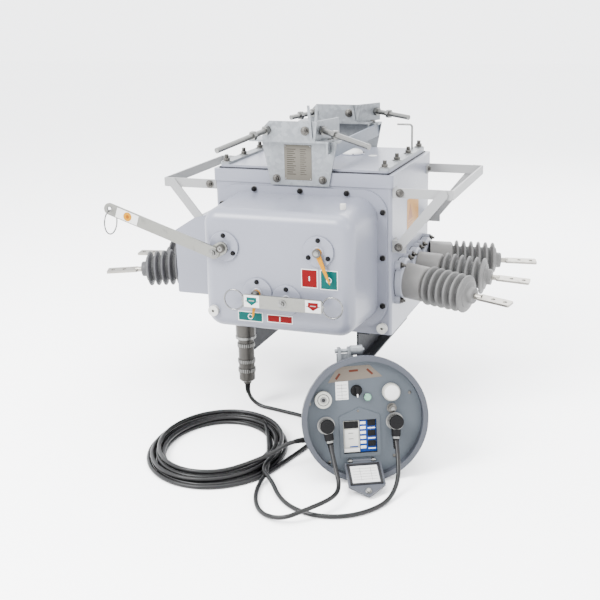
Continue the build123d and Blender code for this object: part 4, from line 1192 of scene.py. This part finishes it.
class SWITCH_OT_relays(bpy.types.Operator):
    """Face the two relay modules behind the window"""

    bl_idname = "switch.relays"
    bl_label = "Relay modules"

    def execute(self, context):
        piece = Piece("relay_faces", "ivory")
        top = RELAY_FACE + RELAY_T
        piece.block(on_panel(-38.0, RELAY_U, RELAY_FACE), 46.0, RELAY_TALL, RELAY_T, soft=0.6)
        piece.block(on_panel(-38.5, -18.0, top), 41.0, 20.0, 1.6, soft=0.6, look="black")
        piece.block(on_panel(-38.0, -57.0, top), 38.0, 50.0, 0.8, soft=0.4, look="white_plastic")
        for u in (-42.0, -58.0):
            piece.block(on_panel(-40.0, u, top + 0.8), 14.0, 1.6, 0.2, look="grey_ink")
        piece.block(on_panel(-32.0, -81.0, top + 0.8), 24.0, 3.6, 0.3, look="blue")
        piece.block(on_panel(-38.0, -91.0, top), 44.0, 10.0, 1.2, soft=0.4, look="white")
        piece.block(on_panel(9.5, RELAY_U, RELAY_FACE), 47.0, RELAY_TALL, RELAY_T, soft=0.6, look="blue")
        for i in range(3):
            u = -15.0 - 29.5 * i
            piece.block(on_panel(19.5, u, top), 23.0, 17.0, 1.6, soft=0.6, look="black")
            piece.block(on_panel(19.5, u - 14.8, top), 21.0, 3.0, 0.5, look="white")
        for i in range(6):
            piece.block(on_panel(-5.0, -14.0 - 14.0 * i, top), 16.0, 8.0, 0.5, soft=0.2, look="white")
        piece.finish()
        return {"FINISHED"}


FLAP_SWING = radians(58.0)
FLAP_HINGE = Vector((-14.0, -119.0, PANEL + 12.0))
FLAP_HALF_T, FLAP_MIDDLE = 3.5, 54.5


class SWITCH_OT_flap(bpy.types.Operator):
    """Dress the controller's open flap: seal, blank plate and catch"""

    bl_idname = "switch.flap"
    bl_label = "Controller flap"

    def execute(self, context):
        down = Vector((0, -cos(FLAP_SWING), sin(FLAP_SWING)))
        out = Vector((1, 0, 0)).cross(down)
        place = DIAL @ seat(FLAP_HINGE, (1, 0, 0), out)
        inner = shifted(place, z=-FLAP_HALF_T) @ Matrix.Rotation(pi, 4, "Y")
        piece = Piece("flap_fittings", "gasket", body="controller_flap")
        for y in (18.0, 91.0):
            piece.block(shifted(inner, 0.0, y), 92.0, 6.0, 3.0, soft=1.0)
        for x in (-43.0, 43.0):
            piece.block(shifted(inner, x, FLAP_MIDDLE), 6.0, 79.0, 3.0, soft=1.0)
        piece.block(shifted(inner, 0.0, FLAP_MIDDLE), 76.0, 62.0, FILM, look="white")
        for i in range(5):
            piece.block(shifted(inner, 0.0, 74.0 - 10.0 * i, FILM), 66.0, 0.7, 0.2, look="grey_ink")
        for x in (-18.0, 12.0):
            piece.block(shifted(inner, x, 54.0, FILM), 0.7, 48.0, 0.2, look="grey_ink")
        piece.hex_bolt(shifted(inner, 0.0, 118.0), 13.0, 5.0, 9.0, look="plated")
        piece.finish()
        return {"FINISHED"}


class SWITCH_OT_walls(bpy.types.Operator):
    """Put a plain yellow plate with generic marks on the wall and bolt the feet"""

    bl_idname = "switch.walls"
    bl_label = "Wall fittings"

    def execute(self, context):
        piece = Piece("wall_plate", "sun")
        spot = facing_right(WALL_X, 262.0, 353.0)
        piece.block(spot, 150.0, 106.0, FILM)
        top = shifted(spot, -34.0, z=FILM)
        piece.outline(top, [(-30, -18), (30, -18), (0, 36)], 0.2, look="amber")
        for i in range(3):
            piece.block(shifted(top, 0.0, -27.0 - 8 * i), 60.0 - 8 * i, 4.0, 0.2, look="amber")
        piece.finish()
        piece = Piece("foot_bolts", "bolt", slot="zinc")
        for side in (-1, 1):
            for y in (110.0, 380.0):
                piece.hex_bolt(turned(facing_down(side * 205.0, y, -6.0), y), 17.0, washer=14.0)
        piece.finish()
        return {"FINISHED"}


class SWITCH_PT_panel(bpy.types.Panel):
    """The switch's sizes and makers"""

    bl_label = "Load break switch"
    bl_space_type = "VIEW_3D"
    bl_region_type = "UI"
    bl_category = "Switch"

    def draw(self, context):
        for group in (context.scene.switch_sizes, context.scene.studio_sizes):
            for name in group.__annotations__:
                self.layout.prop(group, name)
        for maker in MAKERS:
            self.layout.operator(maker.bl_idname)


MAKERS = (
    SWITCH_OT_stage, SWITCH_OT_cords, SWITCH_OT_finishes, SWITCH_OT_bushings, SWITCH_OT_cover_bolts,
    SWITCH_OT_charging, SWITCH_OT_trip, SWITCH_OT_pointers, SWITCH_OT_labels, SWITCH_OT_lid,
    SWITCH_OT_hanger, SWITCH_OT_guards, SWITCH_OT_collars, SWITCH_OT_connector, SWITCH_OT_plugs,
    SWITCH_OT_panel, SWITCH_OT_relays, SWITCH_OT_flap, SWITCH_OT_walls,
)
CLASSES = (SwitchSizes, StudioSizes, *MAKERS, SWITCH_PT_panel)


def register():
    for kind in CLASSES:
        bpy.utils.register_class(kind)
    bpy.types.Scene.switch_sizes = PointerProperty(type=SwitchSizes)
    bpy.types.Scene.studio_sizes = PointerProperty(type=StudioSizes)


def unregister():
    del bpy.types.Scene.studio_sizes
    del bpy.types.Scene.switch_sizes
    for kind in reversed(CLASSES):
        bpy.utils.unregister_class(kind)


def main():
    """Register and make every piece in order."""
    register()
    for maker in MAKERS:
        group, name = maker.bl_idname.split(".")
        getattr(getattr(bpy.ops, group), name)()


if __name__ == "__main__":
    main()
